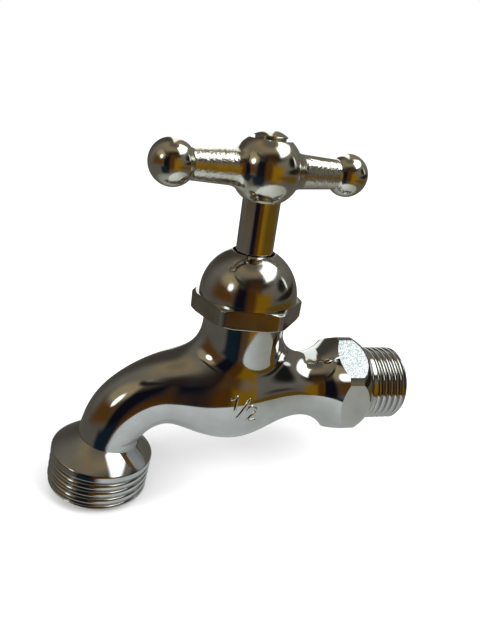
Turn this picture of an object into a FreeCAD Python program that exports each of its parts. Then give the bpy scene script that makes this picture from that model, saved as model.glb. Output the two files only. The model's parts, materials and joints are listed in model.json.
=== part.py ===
import FreeCAD, Part
import math
import os
import re
import Sketcher

# A half-inch bib tap with a T handle: a chromed brass casting with a male pipe thread at the wall end
# and a male hose thread at the outlet, a domed cap nut, a spindle that screws up and down in the neck,
# and a loose jumper valve with a rubber washer that closes the seat.
# Frame: the origin is on the inlet axis at the collar's shoulder, where the pipe thread begins.
# +X points out of the inlet, +Z points up along the stem. Lengths are millimetres, angles degrees.

SIZES = {
    # inlet thread and spanner collar
    "stem_distance": 37.6,       # inlet shoulder back to the stem axis
    "inlet_major": 20.96,        # parallel 1/2 pipe thread, over the crests
    "inlet_pitch": 1.814,
    "inlet_depth": 1.1,
    "inlet_length": 11.2,
    "inlet_plain": 1.3,          # full-diameter stretch between the shoulder and the first turn
    "inlet_relief": 0.6,
    "inlet_bevel": 1.0,
    "inlet_bore": 12.4,
    "collar_diameter": 28.4,
    "collar_flats": 25.6,
    "collar_face": 21.9,         # diameter of the flat shoulder
    "collar_length": 9.2,        # shoulder back to the end of the full diameter
    "collar_round": 5.0,         # how far the turned bevel runs back from the shoulder
    "collar_curve": 14.0,
    "collar_lap": 0.5,           # collar carried back over the casting
    "collar_flats_length": 14.2, # shoulder back to where the spanner flats run out
    # outer form of the casting: sections given by distance from the stem axis, height, radius and slope
    "casting_inset": 0.1,        # the casting starts this far inside the collar
    "flare_distance": 25.6,
    "flare_height": 1.0,
    "flare_radius": 10.7,
    "waist_distance": 20.4,
    "waist_height": 0.2,
    "waist_radius": 9.2,
    "shoulder_distance": 10.5,
    "shoulder_radius": 10.9,
    "globe_front": 2.0,
    "globe_radius": 13.8,
    "globe_height": -0.6,
    "globe_back": 5.6,
    "root_distance": 12.6,
    "root_radius": 11.8,
    "root_slope": -2.0,
    "middle_distance": 20.6,
    "middle_height": -1.1,
    "middle_radius": 9.5,
    "middle_slope": -16.0,
    "bend_distance": 27.0,
    "bend_height": -4.3,
    "bend_radius": 8.75,
    "bend_slope": -38.0,
    "drop_distance": 31.1,
    "drop_height": -8.6,
    "drop_radius": 8.55,
    "drop_slope": -60.0,
    "spout_end_distance": 33.2,
    "spout_end_height": -13.6,
    "spout_radius": 8.2,
    "spout_tail": 4.0,           # spout hidden inside the hose collar
    "casting_wall": 2.3,
    # hose collar, on an axis that leans outwards from the stem
    "outlet_distance": 32.7,     # stem axis to where the outlet axis crosses the inlet axis
    "outlet_lean": 6.7,
    "hose_major": 26.86,         # 3/4 hose thread, over the crests
    "hose_pitch": 2.209,
    "hose_depth": 1.15,
    "hose_rim": 19.3,            # along the outlet axis to the top of the rim
    "hose_plain": 1.4,
    "hose_relief": 0.6,
    "hose_end": 29.6,            # along the outlet axis to the mouth
    "hose_bevel": 0.7,
    "hose_bore": 20.0,
    "hose_step": 1.0,            # rim down to the foot of the wide mouth
    "hose_lead": 2.0,            # rim up to where the mouth meets the passage
    "hose_dome": 40.0,           # radius of the turned shoulder above the rim
    "hose_dome_height": 5.1,
    "hose_dome_inset": 1.6,      # top of that shoulder, inside the spout
    # neck, seat and chamber
    "neck_radius": 10.8,
    "neck_fillet": 8.0,
    "neck_shoulder": 21.5,       # height where the cap nut's thread begins
    "neck_top": 28.0,
    "cap_major": 20.7,
    "cap_pitch": 1.5,
    "cap_depth": 0.8,
    "chamber_radius": 9.0,
    "chamber_floor": 0.0,
    "chamber_top": 12.9,
    "seat_height": 1.0,
    "seat_radius": 6.4,
    "seat_flank": 0.6,
    "orifice_radius": 5.0,
    "seat_plate": 3.4,           # chamber floor down to the roof of the inlet pocket
    "pocket_radius": 6.4,
    "pocket_floor": -10.0,
    "bore_end": 11.6,            # stem axis to the end of the straight inlet bore
    "duct_radius": 4.5,
    "duct_slope": 29.0,
    "duct_height": -1.2,
    "duct_length": 11.0,
    "duct_lap": 1.0,             # duct started this far inside the inlet bore
    "passage_start": 7.8,        # stem axis to where the outlet passage leaves the chamber
    "passage_height": 0.4,
    "passage_radius": 7.2,
    # drive thread of the spindle
    "drive_major": 13.0,
    "drive_pitch": 2.5,
    "drive_depth": 1.25,
    "drive_bottom": 13.4,
    "drive_length": 7.5,
    # thread form
    "thread_gap": 0.16,          # radial clearance between male and female turns
    "thread_flank": 27.5,        # half of a ridge's angle
    "ridge_share": 0.92,         # foot of a ridge as a share of the pitch
    "ridge_sink": 0.25,          # how deep a ridge is rooted in its core
    "groove_foot": 0.03,         # extra half width of a groove at its foot
    # cap nut
    "nut_flats": 25.7,
    "nut_angle": -9.8,
    "nut_bottom": 21.75,
    "nut_height": 4.85,
    "nut_bevel": 0.9,
    "dome_radius": 12.85,
    "dome_height": 26.65,
    "dome_hole": 10.8,
    # packing
    "packing_gap": 0.06,
    "washer_thickness": 1.5,
    "washer_radius": 9.3,
    "packing_height": 4.6,
    "packing_radius": 8.8,
    "packing_tip": 6.4,
    "ring_thickness": 1.2,
    # spindle
    "stem_diameter": 9.44,
    "shank_diameter": 9.8,
    "pin_diameter": 5.0,
    "pin_gap": 0.08,
    "pin_length": 8.0,
    "pin_room": 0.8,             # bore left free beyond the pin
    "drill_point": 59.0,         # half of a drill's point angle
    "drive_lead": 0.4,           # root diameter carried on below the turns
    "square": 6.4,
    "square_gap": 0.05,
    "square_short": 0.4,         # how far the square end stays below the hub's facing
    "screw_hole_depth": 11.0,
    # jumper
    "rubber_thickness": 3.0,
    "rubber_radius": 6.3,
    "jumper_radius": 6.8,
    "jumper_thickness": 2.0,
    "stud_diameter": 3.0,
    "plate_radius": 4.0,
    "plate_thickness": 0.8,
    "jumper_nut_flats": 5.5,
    "jumper_nut_height": 2.2,
    "stud_proud": 0.5,
    # handle
    "handle_height": 58.5,
    "handle_angle": 10.3,
    "hub_radius": 8.7,
    "hub_facing": 7.0,           # hub centre up to the flat under the screw
    "hub_socket": 2.5,           # how deep the round stem enters the hub
    "ball_radius": 5.4,
    "ball_distance": 23.6,
    "arm_root": 4.75,
    "arm_tip": 3.7,
    "hub_fillet": 3.0,
    "ball_fillet": 1.2,
    # handle screw
    "lock_washer_diameter": 8.0,
    "lock_washer_thickness": 0.5,
    "screw_head_diameter": 8.6,
    "screw_head_height": 1.0,
    "screw_head_round": 0.7,
    "screw_diameter": 4.0,
    "screw_length": 10.0,
    "screw_gap": 0.03,
    "slot_width": 1.2,
    "slot_depth": 0.6,
    "slot_angle": 62.0,
    # construction
    "cut_margin": 0.5,           # how far a cut starts outside the metal
}
NEAR = 0.05                      # how close a point counts as being on a surface

doc = FreeCAD.newDocument("bib_tap")
sheet = doc.addObject("Spreadsheet::Sheet", "Sizes")
for row, (alias, value) in enumerate(SIZES.items(), start=1):
    sheet.set(f"A{row}", alias)
    sheet.set(f"B{row}", str(value))
    sheet.setAlias(f"B{row}", alias)
doc.recompute()


def bound(text):
    """Return an expression with every size name pointing at its cell."""
    return re.sub(r"[a-z_]{3,}", lambda word: f"Sizes.{word[0]}" if word[0] in SIZES else word[0], text)


def number(text):
    """Return what an expression gives for the sizes in the sheet."""
    return float(sheet.evalExpression(bound(text)))


def new_body(label, height=None, turn=None):
    """Make a named body; one with a height stands on the stem axis."""
    body = doc.addObject("PartDesign::Body", label)
    body.Label = label
    if height is not None:
        body.setExpression("Placement.Base.x", bound("-stem_distance"))
        body.setExpression("Placement.Base.z", bound(height))
    if turn is not None:
        body.Placement.Rotation = FreeCAD.Rotation(FreeCAD.Vector(0, 0, 1), number(turn))
        body.setExpression("Placement.Rotation.Angle", bound(turn))
    return body


def new_sketch(body, name, role, along=None, up=None, out=None, about=(0, 0, 1), turn=None):
    """Attach an empty sketch to one of the body's own planes, moved and turned by expressions."""
    sketch = body.newObject("Sketcher::SketchObject", name)
    plane = next(item for item in body.Origin.OriginFeatures if item.Role == role)
    sketch.AttachmentSupport = [(plane, "")]
    sketch.MapMode = "FlatFace"
    if turn is not None:
        sketch.AttachmentOffset = FreeCAD.Placement(
            FreeCAD.Vector(), FreeCAD.Rotation(FreeCAD.Vector(*about), number(turn)))
        sketch.setExpression("AttachmentOffset.Rotation.Angle", bound(turn))
    for letter, text in (("x", along), ("y", up), ("z", out)):
        if text is not None:
            sketch.setExpression(f"AttachmentOffset.Base.{letter}", bound(text))
    return sketch


def bind(sketch, kind, item, point, text):
    """Add one driving dimension to a sketch."""
    where = (item, point) if point else (item,)
    index = sketch.addConstraint(Sketcher.Constraint(kind, *where, number(text)))
    sketch.setExpression(f"Constraints[{index}]", bound(text))


def draw(sketch, corners):
    """Draw a closed outline; a corner is (x, y), or (x, y, radius, side) where an arc leads to the next."""
    ends = []
    count = len(corners)
    for index, corner in enumerate(corners):
        following = corners[(index + 1) % count]
        start = FreeCAD.Vector(number(corner[0]), number(corner[1]), 0)
        end = FreeCAD.Vector(number(following[0]), number(following[1]), 0)
        if len(corner) == 2:
            sketch.addGeometry(Part.LineSegment(start, end), False)
            ends.append((1, 2))
            continue
        radius, side = number(corner[2]), corner[3]
        chord = end - start
        inward = FreeCAD.Vector(-chord.y, chord.x, 0).normalize() * side
        rise = radius - math.sqrt(radius ** 2 - (chord.Length / 2) ** 2)
        sketch.addGeometry(Part.Arc(start, (start + end) / 2 - inward * rise, end), False)
        ends.append((1, 2) if side > 0 else (2, 1))
    for index, corner in enumerate(corners):
        before = (index - 1) % count
        sketch.addConstraint(
            Sketcher.Constraint("Coincident", before, ends[before][1], index, ends[index][0]))
        bind(sketch, "DistanceX", index, ends[index][0], corner[0])
        bind(sketch, "DistanceY", index, ends[index][0], corner[1])
        if len(corner) == 4:
            bind(sketch, "Radius", index, 0, corner[2])


def draw_circle(sketch, radius):
    """Draw a circle about the sketch's origin."""
    index = sketch.addGeometry(Part.Circle(FreeCAD.Vector(), FreeCAD.Vector(0, 0, 1), number(radius)), False)
    sketch.addConstraint(Sketcher.Constraint("Coincident", index, 3, -1, 1))
    bind(sketch, "Radius", index, 0, radius)


def draw_polygon(sketch, flats, sides=6, turn="0"):
    """Draw a regular polygon of the given width across flats about the sketch's origin."""
    corners = []
    for index in range(sides):
        angle = f"({turn} + {360 / sides * (index + 0.5)})"
        reach = f"{flats} / 2 / cos({180 / sides})"
        corners.append((f"{reach} * cos({angle})", f"{reach} * sin({angle})"))
    first = sketch.GeometryCount
    points = [FreeCAD.Vector(number(x), number(y), 0) for x, y in corners]
    for index, start in enumerate(points):
        sketch.addGeometry(Part.LineSegment(start, points[(index + 1) % sides]), False)
    for index, (x, y) in enumerate(corners):
        before = first + (index - 1) % sides
        sketch.addConstraint(Sketcher.Constraint("Coincident", before, 2, first + index, 1))
        bind(sketch, "DistanceX", first + index, 1, x)
        bind(sketch, "DistanceY", first + index, 1, y)


def turned(body, name, sketch, axis="V_Axis", kind="Revolution"):
    """Turn a sketch once round one of its own axes, adding metal or cutting it."""
    feature = body.newObject(f"PartDesign::{kind}", name)
    feature.Profile = sketch
    feature.ReferenceAxis = (sketch, [axis])
    feature.Angle = 360
    sketch.Visibility = False
    doc.recompute()
    return feature


def turned_profile(body, name, corners, axis="V_Axis", kind="Revolution", **place):
    """Turn an outline drawn in the body's front plane."""
    sketch = new_sketch(body, f"{name}_sketch", "XZ_Plane", **place)
    draw(sketch, corners)
    return turned(body, name, sketch, axis, kind)


def extruded(body, name, sketch, length, kind="Pad"):
    """Pad a sketch forwards, or cut it backwards, by a length."""
    feature = body.newObject(f"PartDesign::{kind}", name)
    feature.Profile = sketch
    feature.Length = number(length)
    feature.setExpression("Length", bound(length))
    sketch.Visibility = False
    doc.recompute()
    return feature


def thread(body, name, axis, start, radius, depth, pitch, length, kind="AdditiveHelix", down=False, **place):
    """Run a 55 degree ridge, or the groove that clears it, along an axis."""
    inner = f"({radius} - {depth} - ridge_sink)"
    outer = radius
    half_foot = f"({pitch} * ridge_share / 2 + ridge_sink * tan(thread_flank))"
    half_crest = f"({pitch} * ridge_share / 2 - {depth} * tan(thread_flank))"
    if kind == "SubtractiveHelix":
        outer = f"({radius} + thread_gap)"
        half_foot = f"({half_foot} + groove_foot)"
        half_crest = f"({half_crest} + thread_gap)"
    profile = [(f"{start} - {half_foot}", inner), (f"{start} + {half_foot}", inner),
               (f"{start} + {half_crest}", outer), (f"{start} - {half_crest}", outer)]
    if axis == "V_Axis":
        profile = [(across, where) for where, across in profile]
    sketch = new_sketch(body, f"{name}_sketch", "XZ_Plane", **place)
    draw(sketch, profile)
    feature = body.newObject(f"PartDesign::{kind}", name)
    feature.Profile = sketch
    feature.ReferenceAxis = (sketch, [axis])
    feature.Mode = 0
    feature.Reversed = down
    feature.setExpression("Pitch", bound(pitch))
    feature.setExpression("Height", bound(length))
    sketch.Visibility = False
    doc.recompute()
    return feature


def rounded(body, name, base, chosen, radius):
    """Round the chosen edges of a feature."""
    feature = body.newObject("PartDesign::Fillet", name)
    feature.Base = (base, [f"Edge{index}" for index, edge in enumerate(base.Shape.Edges, 1)
                           if not edge.Degenerated and chosen(edge)])
    feature.setExpression("Radius", bound(radius))
    doc.recompute()
    return feature


def loft(body, name, sections, kind="AdditiveLoft"):
    """Loft through circles that stand across a path in the front plane."""
    sketches = []
    for index, (distance, height, radius, slope) in enumerate(sections):
        sketch = new_sketch(body, f"{name}_section_{index + 1}", "YZ_Plane", up=height,
                            out=f"-stem_distance + {distance}", about=(1, 0, 0), turn=slope)
        draw_circle(sketch, radius)
        sketch.Visibility = False
        sketches.append(sketch)
    feature = body.newObject(f"PartDesign::{kind}", name)
    feature.Profile = sketches[0]
    feature.Sections = [(sketch, [""]) for sketch in sketches[1:]]
    feature.Ruled = False
    doc.recompute()
    return feature


# ---------------------------------------------------------------- tap body
# Heights are measured from the inlet axis, distances from the stem axis.
SPOUT_SLOPE = "(outlet_lean - 90)"
TAIL_X = "(-spout_end_distance - spout_tail * sin(outlet_lean))"
TAIL_Z = "(spout_end_height - spout_tail * cos(outlet_lean))"
# distance, height, radius and slope of each section, from the collar's flare to the end of the spout
OUTER_SECTIONS = [
    ("stem_distance - collar_length", "0", "collar_diameter / 2 - casting_inset", "0"),
    ("flare_distance", "flare_height", "flare_radius", "0"),
    ("waist_distance", "waist_height", "waist_radius", "0"),
    ("shoulder_distance", "0", "shoulder_radius", "0"),
    ("globe_front", "globe_height", "globe_radius", "0"),
    ("-globe_back", "globe_height", "globe_radius", "0"),
    ("-root_distance", "globe_height", "root_radius", "root_slope"),
    ("-middle_distance", "middle_height", "middle_radius", "middle_slope"),
    ("-bend_distance", "bend_height", "bend_radius", "bend_slope"),
    ("-drop_distance", "drop_height", "drop_radius", "drop_slope"),
    ("-spout_end_distance", "spout_end_height", "spout_radius", SPOUT_SLOPE),
    (TAIL_X, TAIL_Z, "spout_radius", SPOUT_SLOPE),
]
# The passage keeps the casting's wall from the chamber to the hose collar.
PASSAGE_SECTIONS = [("-passage_start", "passage_height", "passage_radius", "0")] + [
    (distance, height, f"{radius} - casting_wall", slope)
    for distance, height, radius, slope in OUTER_SECTIONS[6:]]

INLET_CREST = "inlet_major / 2"
INLET_ROOT = "(inlet_major / 2 - inlet_depth)"
HOSE_CREST = "hose_major / 2"
HOSE_ROOT = "(hose_major / 2 - hose_depth)"
CAP_ROOT = "(cap_major / 2 - cap_depth)"
DRIVE_ROOT = "(drive_major / 2 - drive_depth)"
DOME_BASE = "(-hose_rim + hose_dome_height)"
on_stem = {"along": "-stem_distance"}
on_outlet = {"along": "-stem_distance - outlet_distance", "turn": "-outlet_lean"}

tap_body = new_body("tap_body")
loft(tap_body, "casting", OUTER_SECTIONS)
turned_profile(tap_body, "neck", [
    ("0", "globe_height"), ("neck_radius", "globe_height"), ("neck_radius", "neck_shoulder"),
    (CAP_ROOT, "neck_shoulder"), (CAP_ROOT, "neck_top"), ("0", "neck_top")], **on_stem)
turned_profile(tap_body, "collar", [
    ("-collar_length - collar_lap", "0"),
    ("-collar_length - collar_lap", "collar_diameter / 2 - casting_inset"),
    ("-collar_length", "collar_diameter / 2"), ("-collar_round", "collar_diameter / 2", "collar_curve", -1),
    ("0", "collar_face / 2"), ("0", INLET_CREST), ("inlet_plain", INLET_CREST),
    ("inlet_plain + inlet_relief", INLET_ROOT), ("inlet_length", INLET_ROOT), ("inlet_length", "0")],
    axis="H_Axis")
hose_collar = turned_profile(tap_body, "hose_collar", [
    ("0", DOME_BASE), ("spout_radius - hose_dome_inset", DOME_BASE, "hose_dome", -1),
    (HOSE_CREST, "-hose_rim"), (HOSE_CREST, "-hose_rim - hose_plain"),
    (HOSE_ROOT, "-hose_rim - hose_plain - hose_relief"), (HOSE_ROOT, "-hose_end"), ("0", "-hose_end")],
    **on_outlet)


def at_neck_foot(edge):
    """Say whether an edge is where the neck meets the globe."""
    middle = edge.valueAt((edge.FirstParameter + edge.LastParameter) / 2)
    reach = math.hypot(middle.x + number("stem_distance"), middle.y)
    return (edge.Curve.TypeId != "Part::GeomLine" and abs(reach - number("neck_radius")) < NEAR
            and middle.z < number("neck_shoulder - neck_radius / 2"))


rounded(tap_body, "neck_foot", hose_collar, at_neck_foot, "neck_fillet")

flats = new_sketch(tap_body, "collar_flats_sketch", "YZ_Plane")
draw_circle(flats, "collar_diameter")
draw_polygon(flats, "collar_flats")
extruded(tap_body, "collar_flats_cut", flats, "collar_flats_length", kind="Pocket")

bore = new_sketch(tap_body, "inlet_bore_sketch", "YZ_Plane", out="inlet_length")
draw_circle(bore, "inlet_bore / 2")
extruded(tap_body, "inlet_bore_cut", bore, "inlet_length + stem_distance - bore_end", kind="Pocket")
duct = new_sketch(tap_body, "duct_sketch", "YZ_Plane", up="duct_height",
                  out="-stem_distance + bore_end + duct_lap", about=(1, 0, 0), turn="-duct_slope")
draw_circle(duct, "duct_radius")
extruded(tap_body, "duct_cut", duct, "duct_length", kind="Pocket")
turned_profile(tap_body, "chamber", [
    ("0", "pocket_floor"), ("pocket_radius", "pocket_floor"), ("pocket_radius", "chamber_floor - seat_plate"),
    ("orifice_radius", "chamber_floor - seat_plate"), ("orifice_radius", "seat_height"),
    ("seat_radius", "seat_height"), ("seat_radius + seat_flank", "chamber_floor"),
    ("chamber_radius", "chamber_floor"), ("chamber_radius", "chamber_top"),
    (f"{DRIVE_ROOT} + thread_gap", "chamber_top"), (f"{DRIVE_ROOT} + thread_gap", "neck_top"),
    ("0", "neck_top")], kind="Groove", **on_stem)
loft(tap_body, "passage", PASSAGE_SECTIONS, kind="SubtractiveLoft")
turned_profile(tap_body, "hose_mouth", [
    ("0", "-hose_end"), ("hose_bore / 2", "-hose_end"), ("hose_bore / 2", "-hose_rim - hose_step"),
    ("spout_radius - casting_wall", "-hose_rim + hose_lead"), ("0", "-hose_rim + hose_lead")],
    kind="Groove", **on_outlet)

thread(tap_body, "inlet_turns", "H_Axis", "inlet_plain - inlet_pitch / 2", INLET_CREST,
       "inlet_depth", "inlet_pitch", "inlet_length - inlet_plain + inlet_pitch / 2")
turned_profile(tap_body, "inlet_end", [
    ("inlet_length - inlet_bevel", f"{INLET_CREST} + cut_margin"),
    ("inlet_length + inlet_pitch", f"{INLET_CREST} + cut_margin"), ("inlet_length + inlet_pitch", "0"),
    ("inlet_length", "0"), ("inlet_length", f"{INLET_CREST} - inlet_bevel"),
    ("inlet_length - inlet_bevel", INLET_CREST)], axis="H_Axis", kind="Groove")
thread(tap_body, "hose_turns", "V_Axis", "-hose_rim - hose_plain + hose_pitch / 2", HOSE_CREST,
       "hose_depth", "hose_pitch", "hose_end - hose_rim - hose_plain + hose_pitch / 2", down=True,
       **on_outlet)
turned_profile(tap_body, "hose_end_bevel", [
    (f"{HOSE_CREST} + cut_margin", "-hose_end + hose_bevel"),
    (f"{HOSE_CREST} + cut_margin", "-hose_end - hose_pitch"), ("0", "-hose_end - hose_pitch"),
    ("0", "-hose_end"), (f"{HOSE_CREST} - hose_bevel", "-hose_end"),
    (HOSE_CREST, "-hose_end + hose_bevel")], kind="Groove", **on_outlet)
thread(tap_body, "cap_turns", "V_Axis", "neck_shoulder + cap_pitch", "cap_major / 2", "cap_depth",
       "cap_pitch", "neck_top - neck_shoulder - cap_pitch * 2", **on_stem)
thread(tap_body, "drive_groove", "V_Axis", "drive_bottom - drive_pitch / 2", "drive_major / 2", "drive_depth",
       "drive_pitch", "neck_top - drive_bottom + drive_pitch * 2", kind="SubtractiveHelix", **on_stem)

# ---------------------------------------------------------------- cap nut and packing
NUT_CORNER = "(nut_flats / 2 / cos(30))"
NUT_TOP = "(nut_bottom + nut_height)"
DOME_FOOT = "sqrt(dome_radius ^ 2 - (nut_bottom + nut_height - dome_height) ^ 2)"
HOLE_HEIGHT = "(dome_height + sqrt(dome_radius ^ 2 - dome_hole ^ 2 / 4))"
WASHER_TOP = "(neck_top + washer_thickness)"
PACKING_TOP = f"({WASHER_TOP} + packing_height)"
RING_TOP = f"({PACKING_TOP} + ring_thickness)"
STEM_HOLE = "(stem_diameter / 2 + packing_gap)"

cap_nut = new_body("dome_cap_nut", "0")
turned_profile(cap_nut, "outside", [
    ("0", "nut_bottom"), (f"{NUT_CORNER} - nut_bevel", "nut_bottom"),
    (NUT_CORNER, "nut_bottom + nut_bevel / 2"), (NUT_CORNER, f"{NUT_TOP} - nut_bevel / 2"),
    (f"{NUT_CORNER} - nut_bevel", NUT_TOP),
    (DOME_FOOT, NUT_TOP, "dome_radius", 1), ("dome_hole / 2", HOLE_HEIGHT), ("0", HOLE_HEIGHT)])
nut_outline = new_sketch(cap_nut, "nut_flats_sketch", "XY_Plane", out=NUT_TOP)
draw_circle(nut_outline, "nut_flats")
draw_polygon(nut_outline, "nut_flats", turn="nut_angle + 30")
extruded(cap_nut, "nut_flats_cut", nut_outline, "nut_height", kind="Pocket")
turned_profile(cap_nut, "inside", [
    ("0", "nut_bottom"), (f"{CAP_ROOT} + thread_gap", "nut_bottom"), (f"{CAP_ROOT} + thread_gap", WASHER_TOP),
    ("packing_radius + packing_gap", WASHER_TOP), ("packing_tip + packing_gap", PACKING_TOP),
    ("packing_tip + packing_gap", RING_TOP), ("dome_hole / 2", RING_TOP),
    ("dome_hole / 2", f"{HOLE_HEIGHT} + cut_margin"), ("0", f"{HOLE_HEIGHT} + cut_margin")], kind="Groove")
thread(cap_nut, "cap_groove", "V_Axis", "neck_shoulder - cap_pitch", "cap_major / 2", "cap_depth",
       "cap_pitch", "neck_top - neck_shoulder + cap_pitch", kind="SubtractiveHelix")

packing_washer = new_body("packing_washer", "neck_top")
turned_profile(packing_washer, "ring", [
    (STEM_HOLE, "0"), ("washer_radius", "0"), ("washer_radius", "washer_thickness"),
    (STEM_HOLE, "washer_thickness")])
stem_packing = new_body("stem_packing", WASHER_TOP)
turned_profile(stem_packing, "cone", [
    (STEM_HOLE, "0"), ("packing_radius", "0"), ("packing_tip", "packing_height"),
    (STEM_HOLE, "packing_height")])
gland_ring = new_body("gland_ring", PACKING_TOP)
turned_profile(gland_ring, "ring", [
    (STEM_HOLE, "0"), ("packing_tip", "0"), ("packing_tip", "ring_thickness"), (STEM_HOLE, "ring_thickness")])

# ---------------------------------------------------------------- jumper valve
RUBBER_TOP = "(seat_height + rubber_thickness)"
JUMPER_TOP = f"({RUBBER_TOP} + jumper_thickness)"
PLATE_FOOT = "(seat_height - plate_thickness)"
NUT_FOOT = f"({PLATE_FOOT} - jumper_nut_height)"

jumper = new_body("jumper_valve", "0")
turned_profile(jumper, "turning", [
    ("0", f"{NUT_FOOT} - stud_proud"), ("stud_diameter / 2", f"{NUT_FOOT} - stud_proud"),
    ("stud_diameter / 2", RUBBER_TOP), ("jumper_radius", RUBBER_TOP), ("jumper_radius", JUMPER_TOP),
    ("pin_diameter / 2", JUMPER_TOP), ("pin_diameter / 2", f"{JUMPER_TOP} + pin_length"),
    ("0", f"{JUMPER_TOP} + pin_length")])
seat_washer = new_body("seat_washer", "seat_height")
turned_profile(seat_washer, "rubber", [
    ("stud_diameter / 2", "0"), ("rubber_radius", "0"), ("rubber_radius", "rubber_thickness"),
    ("stud_diameter / 2", "rubber_thickness")])
seat_plate = new_body("seat_washer_plate", PLATE_FOOT)
turned_profile(seat_plate, "disc", [
    ("stud_diameter / 2", "0"), ("plate_radius", "0"), ("plate_radius", "plate_thickness"),
    ("stud_diameter / 2", "plate_thickness")])
jumper_nut = new_body("seat_washer_nut", NUT_FOOT)
hexagon = new_sketch(jumper_nut, "hexagon", "XY_Plane")
draw_polygon(hexagon, "jumper_nut_flats")
draw_circle(hexagon, "stud_diameter / 2")
extruded(jumper_nut, "nut", hexagon, "jumper_nut_height")

# ---------------------------------------------------------------- spindle
DRIVE_TOP = "(drive_bottom + drive_length)"
FACING = "(handle_height + hub_facing)"
STEM_TOP = "(handle_height - hub_radius + hub_socket)"
PIN_BORE = "(pin_diameter / 2 + pin_gap)"
PIN_BORE_END = f"({JUMPER_TOP} + pin_length + pin_room)"
SCREW_HOLE = "(screw_diameter / 2 + screw_gap)"

spindle = new_body("spindle", "0")
turned_profile(spindle, "turning", [
    ("0", JUMPER_TOP), ("shank_diameter / 2", JUMPER_TOP),
    ("shank_diameter / 2", f"drive_bottom - drive_lead - ({DRIVE_ROOT} - shank_diameter / 2)"),
    (DRIVE_ROOT, "drive_bottom - drive_lead"), (DRIVE_ROOT, DRIVE_TOP),
    ("stem_diameter / 2", f"{DRIVE_TOP} + {DRIVE_ROOT} - stem_diameter / 2"),
    ("stem_diameter / 2", STEM_TOP), ("0", STEM_TOP)])
square = new_sketch(spindle, "square_sketch", "XY_Plane", out=STEM_TOP)
draw_polygon(square, "square", sides=4, turn="handle_angle")
extruded(spindle, "square_end", square, f"{FACING} - square_short - {STEM_TOP}")
turned_profile(spindle, "pin_bore", [
    ("0", JUMPER_TOP), (PIN_BORE, JUMPER_TOP), (PIN_BORE, PIN_BORE_END),
    ("0", f"{PIN_BORE_END} + {PIN_BORE} / tan(drill_point)")], kind="Groove")
turned_profile(spindle, "screw_hole", [
    ("0", f"{FACING} - screw_hole_depth - {SCREW_HOLE} / tan(drill_point)"),
    (SCREW_HOLE, f"{FACING} - screw_hole_depth"), (SCREW_HOLE, FACING), ("0", FACING)], kind="Groove")
thread(spindle, "drive_turns", "V_Axis", "drive_bottom + drive_pitch / 2", "drive_major / 2", "drive_depth",
       "drive_pitch", "drive_length - drive_pitch")

# ---------------------------------------------------------------- handle
handle = new_body("t_handle", "handle_height", turn="handle_angle")
BALL_MEET = "(ball_distance - sqrt(ball_radius ^ 2 - arm_tip ^ 2))"
SOCKET = "(stem_diameter / 2 + square_gap)"
bar = turned_profile(handle, "bar", [
    ("-ball_distance - ball_radius", "0", "ball_radius", -1), (f"-{BALL_MEET}", "arm_tip"),
    ("0", "arm_root"), (BALL_MEET, "arm_tip", "ball_radius", -1), ("ball_distance + ball_radius", "0")],
    axis="H_Axis")


def at_ball_neck(edge):
    """Say whether an edge is the circle where an arm meets its ball."""
    return (edge.Curve.TypeId == "Part::GeomCircle" and abs(edge.Curve.Radius - number("arm_tip")) < NEAR
            and abs(abs(edge.Curve.Center.x) - number(BALL_MEET)) < NEAR)


rounded(handle, "ball_necks", bar, at_ball_neck, "ball_fillet")
hub = turned_profile(handle, "hub", [
    ("0", "-hub_radius", "hub_radius", 1), ("sqrt(hub_radius ^ 2 - hub_facing ^ 2)", "hub_facing"),
    ("0", "hub_facing")])


def at_hub(edge):
    """Say whether an edge is where an arm meets the hub."""
    middle = edge.valueAt((edge.FirstParameter + edge.LastParameter) / 2)
    off_arm = edge.Curve.TypeId == "Part::GeomCircle" and abs(edge.Curve.Axis.x) < 1 - NEAR
    return not off_arm and abs(middle.Length - number("hub_radius")) < NEAR


rounded(handle, "hub_necks", hub, at_hub, "hub_fillet")
turned_profile(handle, "socket", [
    ("0", "-hub_radius"), (SOCKET, "-hub_radius"), (SOCKET, "-hub_radius + hub_socket"),
    ("0", "-hub_radius + hub_socket")], kind="Groove")
square_hole = new_sketch(handle, "square_hole_sketch", "XY_Plane", out="hub_facing")
draw_polygon(square_hole, "(square + square_gap * 2)", sides=4)
extruded(handle, "square_hole", square_hole, "hub_facing + hub_radius - hub_socket", kind="Pocket")

HEAD_TOP = "(lock_washer_thickness + screw_head_height)"
lock_washer = new_body("handle_lock_washer", FACING)
turned_profile(lock_washer, "ring", [
    (SCREW_HOLE, "0"), ("lock_washer_diameter / 2", "0"),
    ("lock_washer_diameter / 2", "lock_washer_thickness"), (SCREW_HOLE, "lock_washer_thickness")])
screw = new_body("handle_screw", FACING)
turned_profile(screw, "turning", [
    ("0", "-screw_length"), ("screw_diameter / 2", "-screw_length"),
    ("screw_diameter / 2", "lock_washer_thickness"), ("screw_head_diameter / 2", "lock_washer_thickness"),
    ("screw_head_diameter / 2", f"{HEAD_TOP} - screw_head_round", "screw_head_round", 1),
    ("screw_head_diameter / 2 - screw_head_round", HEAD_TOP), ("0", HEAD_TOP)])
slot = new_sketch(screw, "slot_sketch", "XY_Plane", out=HEAD_TOP, turn="handle_angle + slot_angle")
draw(slot, [("-screw_head_diameter", "-slot_width / 2"), ("screw_head_diameter", "-slot_width / 2"),
            ("screw_head_diameter", "slot_width / 2"), ("-screw_head_diameter", "slot_width / 2")])
extruded(screw, "slot", slot, "slot_depth", kind="Pocket")

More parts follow.
